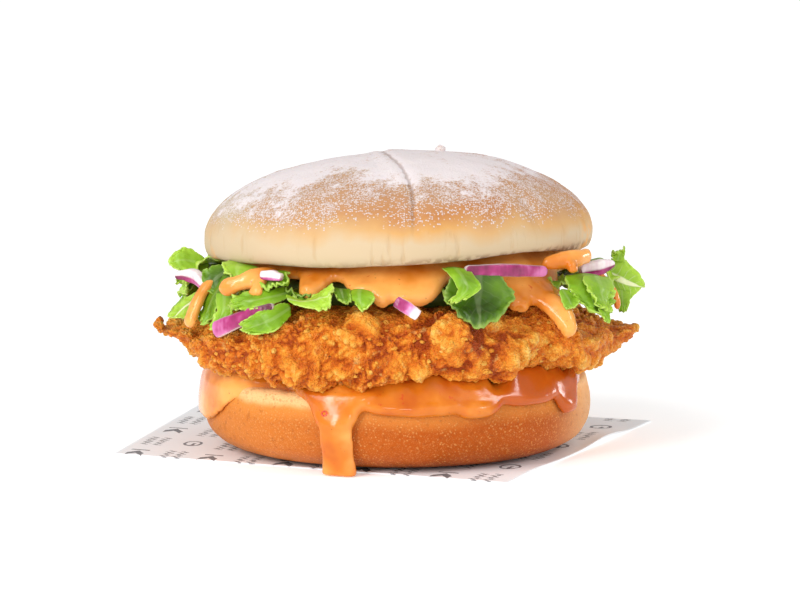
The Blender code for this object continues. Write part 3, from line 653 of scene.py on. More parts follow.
# the chicken fillet and its craggy coating
fillet = {"hub": 0.049, "middle": 0.0335}
coating = {
    "voxel": 0.00098, "rimFrom": 0.74, "foldSize": 0.0090, "foldDepth": 0.0018, "lumpSize": 0.0042,
    "lumpDepth": 0.0008, "nuggetSize": 0.0017, "nuggetDepth": 0.00065, "crumbs": 620, "shoulder": 0.0012,
    "tipRise": 0.0019, "deep": tone(166, 66, 10), "brown": tone(220, 112, 24), "amber": tone(244, 150, 44),
    "gold": tone(252, 182, 76), "crispAndHighlight": tone(254, 214, 126), "red": tone(196, 70, 20),
    "burnt": tone(58, 24, 12),
    # the two big knobs at the front: middle, reach and how far they stand out
    "knobs": ((0.0142, -0.0560, 0.0368, 0.0072, 0.0021), (0.0290, -0.0500, 0.0318, 0.0062, 0.0018)),
    # how far the lower edge hangs out and down over the sauce, left of the middle
    "droop": (0.0018, 0.0026),
}


def cobbles(place, size):
    # close-set rounded lumps: 0 in the cracks between them, 1 on top
    near = voronoi(place / size)[0]
    return smooth(0.0, 0.62, near[1] - near[0])


def coatingHeight(place):
    # how far the crust stands out here, and a crest value for its colour, 0 in cracks to 1 on crests
    warp = wander(place * 120)
    fold = cobbles(place + warp * 0.0042, coating["foldSize"])
    lump = cobbles(place + warp * 0.0016 + Vector((0.3, 0.1, 0.7)), coating["lumpSize"])
    nugget = cobbles(place + warp * 0.0006 + Vector((0.9, 0.4, 0.2)), coating["nuggetSize"])
    grain = noise(place * 750)
    lowerRim = smooth(0.0370, 0.0290, place.z) * smooth(0.020, -0.004, place.x)
    knobbly = max(lowerRim, smooth(-0.02, 0.28, noise(place * 62 + Vector((5, 2, 9)))))
    height = coating["foldDepth"] * (fold - 0.62)
    height += coating["lumpDepth"] * (lump - 0.6) * (0.55 + 0.45 * knobbly)
    height += coating["nuggetDepth"] * (nugget - 0.5) * (0.45 + 0.55 * knobbly) + 0.00024 * grain
    crest = 0.30 * fold + 0.24 * lump + 0.28 * nugget * (0.5 + 0.5 * knobbly)
    crest += 0.10 * (1 - knobbly) + 0.12 * grain
    for x, y, z, reach, stand in coating["knobs"]:
        away = (place - Vector((x, y, z))).length / reach + 0.20 * noise(place * 230)
        height += stand * smooth(1.05, 0.60, away)
        # each knob gets a painted highlight on its top and a ring of painted shade round its foot
        crest += 0.12 * smooth(1.0, 0.6, away) - 0.32 * bump(away - 1.10, 0.14)
    return height, max(0.0, min(1.0, crest + 0.05))


def makeChicken(material):
    bm = voxelled(nodeMesh("chicken"), coating["voxel"])
    relax(bm, 2)
    farOut = {vertex: hypot(vertex.co.x / 0.066, vertex.co.y / 0.058) for vertex in bm.verts}
    rim = [edge for edge in bm.edges if min(farOut[vertex] for vertex in edge.verts) > coating["rimFrom"]]
    bmesh.ops.subdivide_edges(bm, edges=rim, cuts=1, use_grid_fill=True)
    relax(bm, 1)
    crag = bm.verts.layers.float.new("crag")
    for vertex, place, normal in surface(bm):
        height, vertex[crag] = coatingHeight(place)
        vertex.co += normal * height
        front = beside(azimuthOf(vertex.co), 0, 0.75) * smooth(0.022, 0.042, -vertex.co.y)
        vertex.co.z += coating["shoulder"] * front * smooth(0.036, 0.042, vertex.co.z)
        vertex.co.z += coating["tipRise"] * smooth(-0.042, -0.064, vertex.co.x)
        hang = smooth(0.0335, 0.0275, vertex.co.z)
        hang *= smooth(0.0500, 0.0550, hypot(vertex.co.x, vertex.co.y))
        hang *= beside(azimuthOf(vertex.co), -20, 0.50)
        vertex.co += outward(azimuthOf(vertex.co)) * coating["droop"][0] * hang
        vertex.co.z -= coating["droop"][1] * hang
    pieceFrom("looseCrumbs", looseCrumbs(BVHTree.FromBMesh(bm)), material)
    return pieceFrom("chickenFillet", bm, material, ("chicken",))


def looseCrumbs(tree):
    # crumbs of crust, half sunk in the fillet's knobbly places
    draw = random.Random(11).uniform
    crumbs = bmesh.new()
    crag = crumbs.verts.layers.float.new("crag")
    for number in range(coating["crumbs"]):
        azimuth = draw(-pi, pi)
        slope = radians(draw(-40, 60))
        hub = polar(azimuth, fillet["hub"], fillet["middle"])
        ray = outward(azimuth) * cos(slope) + Vector((0, 0, sin(slope)))
        spot, normal, _, _ = tree.ray_cast(hub + ray * 0.05, -ray)
        size = draw(0.00035, 0.00085)
        stretch = Vector((draw(0.7, 1.4), draw(0.7, 1.4), draw(0.6, 1.0)))
        if spot is None or noise(spot * 80 + Vector((1, 7, 3))) < draw(-0.2, 0.3):
            continue
        for vertex in bmesh.ops.create_icosphere(crumbs, subdivisions=2, radius=size)["verts"]:
            rough = 1 + 0.5 * noise(vertex.co * 1500 + Vector((number, 0, 0)))
            vertex.co = spot - normal * size * 0.1 + vertex.co * stretch * rough
            vertex[crag] = 0.60 + 0.3 * noise(Vector((number * 0.37, 1, 2)))
    return crumbs


def friedCoating():
    material, shader, coords = newMaterial("friedCoating", 0.42, 0.25, 0.08, (0.003, 0.0012, 0.0004))
    fine = cloudy(coords, 1100.0, 4.0, 0.7)
    height = attribute(coords.tree, "crag") + fine * 0.50 + cloudy(coords, 80.0) * 0.60 - 0.55
    # dark cracks are painted shade; light crests are partly lighter frying and partly painted highlight
    colour = colourRamp(height, [
        (0.02, coating["deep"]), (0.20, coating["brown"]), (0.42, coating["amber"]), (0.66, coating["gold"]),
        (0.92, coating["crispAndHighlight"])])
    colour = mixed(patches(coords, 330.0, 0.60, 0.70) * 0.35, colour, coating["crispAndHighlight"])
    colour = mixed(patches(coords, 260.0, 0.60, 0.72) * 0.50, colour, coating["red"])
    colour = mixed(patches(coords, 420.0, 0.70, 0.76) * 0.75, colour, coating["burnt"])
    sandy = relief(fine - cells(coords, 1500.0)[0] * 0.8, 0.0009)
    plug(shader, {"Base Color": colour, "Roughness": fine * 0.30 + 0.26, "Normal": sandy})
    return material


chicken = makeChicken(friedCoating())
chickenTree = BVHTree.FromObject(chicken, bpy.context.evaluated_depsgraph_get())
print("burger: chicken fried")


# the sauces: films that run over a rim and end in rounded tongues
sauce = {
    "gap": 0.0005, "film": 0.0013, "topFilm": 0.0024, "bead": 0.0028, "voxel": 0.00055,
    # middle and half width of each run in degrees, its length and fullness
    "heelRuns": ((-78, 24, 0.0098, 0.3), (-17, 7, 0.0080, 1), (6, 18, 0.0034, 1),
                 (22, 8, 0.0044, 1), (40, 12, 0.0022, 0.9), (56, 6, 0.0060, 0.8), (118, 14, 0.0050, 1),
                 (150, 10, 0.0090, 1), (188, 18, 0.0035, 1), (214, 8, 0.0070, 1), (240, 14, 0.0030, 1)),
    "dripAzimuth": -16.5, "dripWidth": 0.0044, "dripDepth": 0.0026, "dripFoot": 0.0548,
    # azimuth and height of the chilli ring
    "ringPlace": (-19.3, 0.0172),
    # azimuth and half width of the places where the sauce doesn't reach the fillet
    "heelGaps": ((6, 2.0), (29, 2.5), (-41, 9), (205, 12), (140, 6)), "bareRims": ((-39, 11), (86, 15)),
    "topBase": 0.0515, "topRadius": 0.0486,
    "topRuns": ((-56, 3, 0.0020, 0.8), (-26.5, 4.2, 0.0068, 1.2), (-9, 7, 0.0056, 1),
                (-4.5, 3.4, 0.0078, 1.1), (4, 10, 0.0067, 1), (36.5, 5.5, 0.0110, 1),
                (47, 12, 0.0096, 0.9), (45.8, 3.4, 0.0224, 1),
                (128, 9, 0.0060, 1), (158, 4, 0.0120, 1), (186, 12, 0.0070, 1), (226, 5, 0.0110, 1),
                (244, 9, 0.0045, 1)),
    # strands that have run over the leaves: half width, then the way down in millimetres
    "strands": ((2.3, ((-50, -25, 50.5), (-53.5, -27, 47), (-56, -29, 42), (-57.4, -29.5, 37.2))),
                (2.2, ((-32, -38, 53.0), (-38, -41.5, 51.8), (-43, -42, 50.4), (-48, -40, 48.4))),
                (1.9, ((-36.4, -42.5, 51.6), (-37.4, -45.5, 49.6), (-38, -46.5, 47.6))),
                (2.5, ((39, -38, 55.2), (44.5, -36, 56.2), (49.5, -32.5, 56.4), (52.5, -28, 56.8))),
                (1.6, ((46.0, -35, 56.8), (47.2, -37, 54.8), (47.6, -37, 53.0))),
                (1.3, ((53.0, -17, 53.6), (57.4, -20, 49.8), (60.6, -22.5, 45.0), (61.2, -22, 41.2)))),
    "orange": tone(213, 120, 28), "deep": tone(188, 86, 12), "pale": tone(242, 166, 82),
    "chilli": tone(196, 44, 18), "pepper": tone(66, 34, 20),
}


def runAt(azimuth, runs):
    # how far the sauce comes down here, and how full it is, most in the middle of a run
    length, full = 0.0, 0.6
    for middle, halfWidth, reach, fullness in runs:
        share = angleBetween(azimuth, radians(middle)) / radians(halfWidth)
        here = reach * exp(-(share ** 4) * 1.2)
        if here > length:
            length, full = here, fullness * (0.6 + 0.5 * exp(-1.4 * share * share))
    return length, full


def sauceSection(side, length, full, film, topAt):
    # a film over a level face that runs over its rim and ends in a rounded bead
    rim, level = side[0]
    gap, bead = sauce["gap"], sauce["bead"] * full
    upper = [(rim * share, topAt(rim * share)) for share in (0, 0.3, 0.6, 0.78, 0.84, 0.88, 0.92, 0.96)]
    lower = [(rim * share, level + gap) for share in (0.8, 0.4, 0)]
    for i in range(25):
        along = length * i / 24
        (radius, height), normal = walk(side, along)
        thick = film + (bead - film) * smooth(0.2, 0.8, along / length)
        left = max(0.0, min(1.0, (length - along) / (sauce["bead"] * 0.7)))
        thick *= 0.15 + 0.85 * sqrt(1 - (1 - left) ** 2)
        outside = (radius + normal[0] * (gap + thick), height + normal[1] * (gap + thick))
        raised = max(0.0, topAt(outside[0]) - topAt(0)) * smooth(0.0045, 0.0, along)
        upper.append((outside[0], outside[1] + raised))
        lower.insert(0, (radius + normal[0] * gap, height + normal[1] * gap))
    return upper + lower


def poured(bm, times):
    # one rounded, slightly swollen skin round everything in the bmesh
    skin = voxelled(bm, sauce["voxel"])
    relax(skin, times)
    for vertex, place, normal in surface(skin):
        vertex.co = place + normal * (0.00030 + 0.00030 * noise(place * 130))
    return skin


def swell(azimuth, radius, level):
    # the film wells up against the fillet's underside near the rim
    hit = chickenTree.ray_cast(polar(azimuth, radius, roll["heelTop"] + 0.0006), Vector((0, 0, 1)))[0]
    room = hit.z - level - 0.0001 if hit else 0.0030
    for middle, halfWidth in sauce["heelGaps"]:
        room -= 0.0016 * beside(azimuth, middle, radians(halfWidth))
    return max(0.0, min(room, 0.0042)) * smooth(0.0400, 0.0465, radius) * smooth(0.0575, 0.0535, radius)


def makeHeelSauce(material):
    topLevel = roll["heelTop"] + 0.00035 + sauce["film"]

    def section(azimuth):
        length, full = runAt(azimuth, sauce["heelRuns"])
        inset = 1.0
        for middle, halfWidth in sauce["bareRims"]:
            inset -= 0.085 * beside(azimuth, middle, radians(halfWidth))

        def topAt(radius):
            return topLevel + swell(azimuth, radius * inset, topLevel)

        line = sauceSection(heelSide(azimuth), 0.0032 + length, full, sauce["film"], topAt)
        return [(radius * inset, height) for radius, height in line]

    bm = wrappedSection(360, 60, section)
    azimuth = radians(sauce["dripAzimuth"])
    side = heelSide(azimuth)
    stand = sauce["gap"] + sauce["dripDepth"] * 0.5
    path = []
    for distance in (0.0002, 0.0018, 0.0036, 0.0060, 0.0085, 0.0115):
        (radius, height), normal = walk(side, distance)
        path.append((radius + normal[0] * stand, height + normal[1] * stand))
    foot = sauce["dripFoot"]
    path += [(foot + (path[-1][0] - foot) * 0.4, 0.0060), (foot, 0.0015), (foot, 0.0003)]

    def dripSkin(turn, share):
        radius, height = evenAt(path, share)
        width = 1.0 + 1.5 * (1 - smooth(0.0, 0.42, share)) + 0.06 * smooth(0.80, 1.0, share)
        aside = cos(turn) * sauce["dripWidth"] * width
        deep = sin(turn) * sauce["dripDepth"] * (0.5 + 0.12 * smooth(0.3, 0.9, share))
        place = outward(azimuth) * (radius + deep) + outward(azimuth + pi / 2) * aside
        return place + Vector((0, 0, height))

    joined(bm, sweptTube(32, 60, dripSkin))
    skin = poured(bm, 5)
    for vertex in skin.verts:
        vertex.co.z = max(vertex.co.z, 0.0001)
    return pieceFrom("heelSauce", skin, material, ("sauce_heel",))


def shoulderOutline(azimuth, tree):
    # what the upper sauce runs over: its own rim, then the fillet's shoulder
    rim, base = sauce["topRadius"], sauce["topBase"]
    points = [(rim - 0.0012, base), (rim, base - 0.0012)]
    hub = polar(azimuth, fillet["hub"], 0.0330)
    for degrees in range(62, -16, -6):
        ray = outward(azimuth) * cos(radians(degrees))
        ray.z = sin(radians(degrees))
        hit = tree.ray_cast(hub + ray * 0.05, -ray)[0]
        if hit is None:
            continue
        radius = hypot(hit.x, hit.y)
        if radius > points[-1][0]:
            points.append((radius + 0.0005, hit.z + 0.0005))
    return points


def strand(halfWidth, way):
    # a thick thread of sauce with round ends
    points = [Vector(point) / 1000 for point in way]

    def threadSkin(turn, share):
        centre, ahead, out = alongWay(points, share)
        aside = ahead.cross(out)
        near = min(share, 1 - share) / 0.16
        size = halfWidth / 1000 * sqrt(max(0.02, 1 - max(0.0, 1 - near) ** 2))
        uneven = noise(Vector((share * 3.5, halfWidth * 3, points[0].x * 900)))
        size *= 0.88 + 0.22 * share + 0.35 * uneven
        return centre + aside * cos(turn) * size + out * sin(turn) * size * 0.6

    return sweptTube(24, 30, threadSkin)


def makeCrownSauce(material, tree):
    def section(azimuth):
        length, full = runAt(azimuth, sauce["topRuns"])

        def topAt(radius):
            x = radius * sin(azimuth)
            return roll["crownBase"] - 0.00035 + x * roll["riseToRight"] + edgeShift(x)

        return sauceSection(shoulderOutline(azimuth, tree), 0.0010 + length, full, sauce["topFilm"], topAt)

    bm = wrappedSection(300, 60, section)
    for halfWidth, way in sauce["strands"]:
        joined(bm, strand(halfWidth, way))
    return pieceFrom("crownSauce", poured(bm, 5), material, ("sauce_crown",))


def chilliRing(tree, material):
    # one thin ring of chilli on the long drip
    ring = sheetGrid(32, 12)
    for vertex, u, v in spread(ring):
        turn, around = u * 2 * pi, v * 2 * pi
        reach = 0.00072 + 0.00022 * cos(around)
        vertex.co = Vector((cos(turn) * reach, sin(turn) * reach * 0.85, 0.00022 * sin(around)))
    closedSkin(ring, 1e-7)
    azimuth, height = sauce["ringPlace"]
    out = outward(radians(azimuth))
    spot, normal, _, _ = tree.ray_cast(out * 0.1 + Vector((0, 0, height)), -out)
    bmesh.ops.transform(ring, matrix=normal.to_track_quat("Z", "Y").to_matrix().to_4x4(), verts=ring.verts)
    bmesh.ops.translate(ring, vec=spot, verts=ring.verts)
    return pieceFrom("chilliRing", ring, material)


def sauceGloss():
    material, shader, coords = newMaterial("glossySauce", 0.16, 0.42, 0.10, (0.003, 0.0015, 0.0006))
    x, _, z = parts(coords)
    cloud = cloudy(coords, 70.0)
    # the long drip and the left side are paler; the upper sauce is paler, partly its own tone and partly
    # painted light where the crown shades it, most at the right
    paleAndPaintedLight = span(abs(x + 0.0160), 0.0100, 0.0040) * 0.55 * span(z, 0.0205, 0.0150)
    paleAndPaintedLight = larger(paleAndPaintedLight, span(z, 0.0300, 0.0400) * (span(x, 0.020, 0.032) * 0.35 + 1.0))
    paleAndPaintedLight = larger(paleAndPaintedLight, span(x, -0.036, -0.050) * 1.1)
    # the lower right is deeper: painted shade under the fillet
    paleAndPaintedLight = paleAndPaintedLight - span(x, 0.018, 0.034) * span(z, 0.0300, 0.0250)
    tint = paleAndPaintedLight * 0.16 + cloud
    colour = colourRamp(tint, [(0.34, sauce["deep"]), (0.54, sauce["orange"]), (0.74, sauce["pale"])])
    colour = mixed(patches(coords, 520.0, 0.66, 0.72) * 0.55, colour, sauce["chilli"])
    colour = mixed(patches(coords, 760.0, 0.70, 0.75) * 0.6, colour, sauce["pepper"])
    height = cloud + cloudy(coords, 900.0, 2.0) * 0.08
    plug(shader, {"Base Color": colour, "Normal": relief(height, 0.0008, 0.35)})
    return material


def chilliSkin():
    material, shader, coords = newMaterial("chilliFlesh", 0.18)
    red, orange = tone(176, 20, 12), tone(232, 70, 40)
    colour = colourRamp(cloudy(coords, 900.0, 2.0), [(0.35, red), (0.65, orange)])
    plug(shader, {"Base Color": colour, "Coat Weight": 0.5})
    return material


glossySauce = sauceGloss()
heelSauce = makeHeelSauce(glossySauce)
chilliRing(BVHTree.FromObject(heelSauce, bpy.context.evaluated_depsgraph_get()), chilliSkin())
makeCrownSauce(glossySauce, BVHTree.FromBMesh(nodeMesh("chicken")))
print("burger: sauce poured")


# lettuce: a dark heart that is painted shade between the leaves, big leaves that show, and small frills
# between them
lettuce = {
    "thickness": 0.00045, "clearance": 0.0007, "coreRadius": 0.0430, "coreTop": 0.0505, "coreFoot": 0.0425,
    "light": tone(166, 204, 58), "green": tone(122, 166, 26), "dark": tone(64, 98, 10),
    "deep": tone(24, 44, 5), "rib": tone(228, 236, 186), "margin": tone(188, 216, 104),
    # azimuths of the leaves at the sides and the back
    "backLeaves": (92, 104, 117, 131, 146, 160, 175, 189, 204, 218, 233, 247, 260, 272), "frills": 46,
}
# each leaf that shows: tone (0 light to 1 dark), frill, ribbed, fineness, then its net: rows of three points
# in millimetres, from the root to the free edge
leafNets = (
    (0.10, 0.3, 0, 26, (
        (-54.5, -8, 50, -54, -6, 52, -54.5, -5, 54),
        (-59.5, -9.5, 50.5, -60, -7.5, 53.5, -60, -6, 57),
        (-63, -9.5, 50.5, -65.2, -8.5, 53.2, -63.5, -7, 56.5))),
    (0.15, 1.0, 0, 18, (
        (-62, -11, 50, -60, -11, 49.2, -58, -11, 49),
        (-63.2, -12, 47.2, -61.2, -12, 47.6, -59, -12, 48.2))),
    (0.00, 0.2, 1, 30, (
        (-54.5, -16, 42, -54.5, -15, 44.5, -54.5, -14, 47),
        (-58, -18, 39.5, -59.5, -17, 41.5, -60, -15.5, 43.3),
        (-60, -19, 38, -63, -18, 38.2, -66, -17, 38.6))),
    (0.55, 0.6, 0, 24, (
        (-48, -26, 52, -46, -30, 51, -44, -34, 50),
        (-53, -27, 45, -51, -31, 45, -49, -35, 44),
        (-55.5, -28, 39, -53.5, -31.5, 38.5, -51.5, -35, 38))),
    (0.60, 0.4, 0, 24, (
        (-46, -27, 50, -47, -26, 52.5, -49.5, -24, 54.5),
        (-48.5, -29, 47.5, -50.5, -27.5, 50, -52.5, -25, 53),
        (-51, -30, 46, -53, -28, 48, -54.5, -25, 51))),
    (0.10, 0.5, 0, 30, (
        (-47, -28, 55.5, -42.5, -31, 55, -36, -36, 53.8),
        (-48, -33, 54.8, -43.5, -36, 54, -37, -40, 53.3),
        (-46, -38, 53.5, -43.3, -40, 51.2, -38, -42, 52.3))),
    (0.25, 0.6, 0, 30, (
        (-50, -33, 47.5, -47, -36, 47, -43, -38, 47.5),
        (-49, -38, 42.5, -47, -40.5, 43, -44, -41, 43),
        (-52, -38, 37, -49.5, -41, 37.5, -46.5, -43, 39))),
    (0.30, 0.9, 0, 34, (
        (-28.5, -46, 46.5, -29, -45, 48.2, -29.5, -43, 50),
        (-36, -50, 44.8, -36, -48.5, 46.8, -36, -46, 48.8),
        (-45, -46, 43, -45, -44.5, 45, -44.5, -42, 47))),
    (0.30, 0.7, 0, 34, (
        (-28, -50, 42.5, -28.5, -49, 44.5, -29, -47, 46.5),
        (-32.5, -54, 38.8, -34, -53, 41.5, -35.5, -51, 44.5),
        (-40.5, -50, 37.3, -41.5, -49, 38.7, -42.5, -48, 40.3))),
    (0.35, 1.2, 0, 34, (
        (-38, -38, 53.5, -34, -40, 53.5, -29, -42, 54),
        (-38, -41, 51.8, -34, -43.5, 52, -29, -46, 53),
        (-39.5, -45, 50, -34, -48, 49.6, -28.5, -50, 50.5))),
    (0.00, 0.6, 0.3, 36, (
        (-30, -50, 48.4, -29, -53, 47.2, -28, -55, 46.2),
        (-23.5, -50, 46.6, -23, -55, 46.6, -22.5, -58, 45.2),
        (-16.5, -52, 52.5, -17, -56, 49, -18, -60, 44.3))),
    (0.25, 0.5, 0, 26, (
        (-13, -52, 49.5, -10, -54, 50, -6.5, -55, 49.5),
        (-13, -56, 47.8, -10, -58, 48.5, -6, -58, 48.3),
        (-11, -57.5, 47, -9.3, -60.5, 45.1, -6.3, -59.5, 47))),
    (0.60, 0.5, 0, 18, (
        (-17.5, -52, 50.5, -15, -53, 50, -12.5, -53, 50),
        (-15.5, -57, 47.2, -13.8, -58, 46.9, -12, -58, 47.2))),
    # the cupped leaf at the front right, its dark tone partly painted shade in its hollow
    (0.74, 0.5, 0, 40, (
        (13, -53, 54, 21, -52, 54.5, 27.5, -50, 53.5),
        (12.5, -55.5, 48, 21, -53.5, 48.5, 30.5, -51.5, 48.5),
        (15.5, -59, 43.3, 21.5, -60, 40.9, 29, -56.5, 43.6))),
    (0.30, 0.3, 0, 30, (
        (10.5, -50, 55.6, 15, -52, 55.6, 19, -51, 55),
        (14, -56, 53.5, 17, -58, 53.5, 20.5, -57, 53),
        (15.5, -59, 50, 18, -60, 50.5, 21.8, -59.5, 51),
        (12.5, -59, 47.3, 14.5, -60, 47, 17.5, -60.5, 47.5))),
    (0.40, 1.4, 0, 34, (
        (44.5, -36, 52, 51, -33, 52.2, 58.3, -27, 50.8),
        (46, -41, 48.5, 52.5, -40, 48, 58.5, -33, 47.8),
        (47, -42, 46.5, 52.5, -42, 42.3, 57, -37, 41.5))),
    (0.20, 1.3, 0, 30, (
        (49.5, -36, 52.3, 54, -33, 51.5, 58.5, -28, 50.8),
        (51, -42, 48.5, 55, -39, 48.5, 59, -33, 47.3),
        (53.5, -43, 43.5, 55.5, -42, 42.5, 57, -39, 41.5))),
    (0.20, 0.4, 0, 16, (
        (53.5, -42, 44, 55, -42, 43.5, 57, -40, 44),
        (55.5, -44, 40.5, 56.5, -44, 39.9, 57, -43, 40.5))),
    (0.35, 0.4, 0, 18, (
        (43, -43, 48.5, 44, -42, 48.8, 46, -40, 48.5),
        (45, -46, 43.8, 47, -45, 44.3, 49, -43, 45.4))),
    (0.15, 0.3, 1, 34, (
        (61, -9, 44, 60.5, -8, 49.5, 60.5, -6, 54.5),
        (64.5, -10, 41.5, 65, -9, 47.5, 64.8, -7, 54),
        (66.5, -9, 43, 70, -8, 46, 71, -7, 47.6))),
    (0.20, 1.0, 0, 20, (
        (61, -8, 53.5, 62.5, -8, 53.5, 64.5, -8, 53),
        (60.7, -9, 56.9, 62.8, -9, 56.2, 64.5, -9, 58.3))),
    (0.25, 0.6, 0, 20, (
        (61.5, -10, 46, 63.5, -10, 45.5, 66.5, -10, 45),
        (62.9, -11, 38.8, 64, -11, 39.3, 65, -11, 39.3))),
)


def crownCeiling(place):
    # how high greens may reach under the crown's edge
    share = (hypot(place.x, place.y) + 0.0010 - roll["crownEdge"]) / (roll["radius"] - roll["crownEdge"])
    if share > 1:
        return 1.0
    dip = (roll["crownBulge"] - roll["crownBase"]) * sqrt(1 - max(0.0, share) ** 2)
    return roll["crownBulge"] - dip - 0.0007 + place.x * roll["riseToRight"] + edgeShift(place.x)


def settled(place, clearance):
    # the same place, moved out of the fillet if it's in it, and under the crown
    hub = polar(azimuthOf(place), 0.040, 0.0335)
    ray = (place - hub).normalized()
    hit = chickenTree.ray_cast(hub + ray * 0.05, -ray)[0]
    if hit is not None and (place - hub).length < (hit - hub).length + clearance:
        place = hit + ray * clearance
    place.z = min(place.z, crownCeiling(place))
    return place


def leafFromNet(number, spec):
    # a leaf over its net, with rounded corners, a ragged edge, waves near its rim and blisters
    leafTone, frill, ribbed, fineness, net = spec
    rows = [[Vector(row[i:i + 3]) / 1000 for i in (0, 3, 6)] for row in net]
    seed = Vector((number * 1.7, number * 0.9, number * 2.3))
    bm = sheetGrid(fineness, fineness)
    shade = bm.verts.layers.float.new("shade")
    ribs = bm.verts.layers.float.new("ribbed")

    def onNet(u, v):
        return curveThrough([curveThrough(row, u) for row in rows], v)

    for vertex in bm.verts:
        a, b = vertex.co.x, vertex.co.y

        def uneven(scale, shift):
            return noise(Vector((a * scale, b * scale, shift)) + seed)

        u, v = a * sqrt(1 - 0.25 * b * b), b * sqrt(1 - 0.25 * a * a)
        rim = max(abs(a), b)
        ragged = 1 + 0.16 * smooth(0.5, 1.0, rim) * uneven(2.6, 0)
        ragged += 0.07 * smooth(0.7, 1.0, rim) * uneven(8, 4)
        u, v = 0.5 + 0.5 * u * ragged, 0.5 + 0.5 * v * ragged
        place = onNet(u, v)
        normal = (onNet(u + 0.02, v) - place).cross(onNet(u, v + 0.02) - place).normalized()
        free = smooth(-0.6, 0.3, b)
        edge = smooth(0.45, 1.0, rim) * free
        wave = 0.0011 * frill * edge * uneven(3.6, 9) * 1.8
        wave += 0.0006 * frill * edge * uneven(8.5, 2) * 1.5
        blister = 0.00035 * (1 - abs(noise(place * 330 + seed)) * 2.2) * free
        blister += 0.0007 * noise(place * 150 + seed) * free
        vertex.co = settled(place + normal * (wave + blister), lettuce["clearance"])
        # the shade: the leaf's own tone, a darker middle that is painted shade, paler edges and random
        # mottling
        centre = 1 - smooth(0.1, 0.9, rim)
        vertex[shade] = leafTone + 0.12 * centre - 0.14 * edge + 0.10 * noise(place * 90 + seed)
        vertex[ribs] = ribbed
    return bm


def leafNetAround(degrees, picker):
    # a leaf for the sides and the back, as a net that hangs from this azimuth
    draw = picker.uniform
    at = radians(degrees)
    half = radians(draw(6, 10))
    rootUp, tipUp = draw(50, 54), picker.choice((39, 42, 45, 49))
    tipOut, lean = draw(61, 66), radians(draw(-8, 8))
    rows = []
    middleUp = (rootUp + tipUp) / 2 + 2.5
    for share, radius, height in ((0, 50, rootUp), (0.55, 57.5, middleUp), (1, tipOut, tipUp)):
        row = []
        for side in (-1, 0, 1):
            azimuth = at + lean * share + half * side * (0.9 + 0.3 * share)
            out = radius - abs(side) * draw(0, 2) + draw(-0.6, 0.6)
            up = height + draw(-1.6, 1.6) + side * draw(-1.5, 1.5)
            row += (sin(azimuth) * out, -cos(azimuth) * out, up)
        rows.append(row)
    return (draw(0.05, 0.65), draw(0.6, 1.2), 0, 30, rows)


def frillNetAround(degrees, draw):
    # a small frill between the big leaves
    at = radians(degrees)
    half = radians(draw(3, 5.5))
    rows = []
    for radius, height in ((47, draw(48, 50)), (52, draw(47, 51)),
                           (draw(54, 56.5), draw(44, 51))):
        row = []
        for side in (-1, 0, 1):
            azimuth = at + half * side
            out = radius + draw(-0.8, 0.8)
            row += (sin(azimuth) * out, -cos(azimuth) * out, height + draw(-1.2, 1.2))
        rows.append(row)
    return (draw(0.35, 1.0), 1.2, 0, 14, rows)


def leavesFrom(nets):
    leaves = bmesh.new()
    leaves.loops.layers.uv.new("own")
    for name in ("shade", "ribbed"):
        leaves.verts.layers.float.new(name)
    for number, net in enumerate(nets):
        joined(leaves, leafFromNet(number, net))
    return leaves


def makeLettuce(material):
    picker = random.Random(4)
    nets = list(leafNets)
    for degrees in lettuce["backLeaves"]:
        nets.append(leafNetAround(degrees, picker))
    leaves = pieceFrom("lettuceLeaves", leavesFrom(nets), material, ("lettuce",))
    addThickness(leaves, lettuce["thickness"])
    frillNets = []
    for number in range(lettuce["frills"]):
        degrees = number * 360 / lettuce["frills"] + picker.uniform(-3, 3) - 180
        frillNet = frillNetAround(degrees, picker.uniform)
        if not (-24 < degrees < 16 or 31 < degrees < 56):
            frillNets.append(frillNet)
    addThickness(pieceFrom("lettuceFrills", leavesFrom(frillNets), material), lettuce["thickness"])

    def section(azimuth):
        radius, top, foot = lettuce["coreRadius"], lettuce["coreTop"], lettuce["coreFoot"]
        points = [(radius * share, top) for share in (0, 0.5, 0.9, 0.97)]
        points += [(radius, top - 0.0012), (radius, 0.0460), (radius * 0.98, 0.0440)]
        return points + [(radius * share, foot) for share in (0.9, 0.6, 0)]

    heart = wrappedSection(160, 9, section)
    heartShade = heart.verts.layers.float.new("shade")
    heart.verts.layers.float.new("ribbed")
    heart.loops.layers.uv.new("own")
    for vertex in heart.verts:
        # the heart takes the darkest green: painted shade in the gaps between the leaves
        vertex[heartShade] = 1.0
        away = 0.0016 * noise(vertex.co * 240) * smooth(0.02, 0.04, hypot(vertex.co.x, vertex.co.y))
        vertex.co += outward(azimuthOf(vertex.co)) * away
    pieceFrom("lettuceHeart", heart, material)


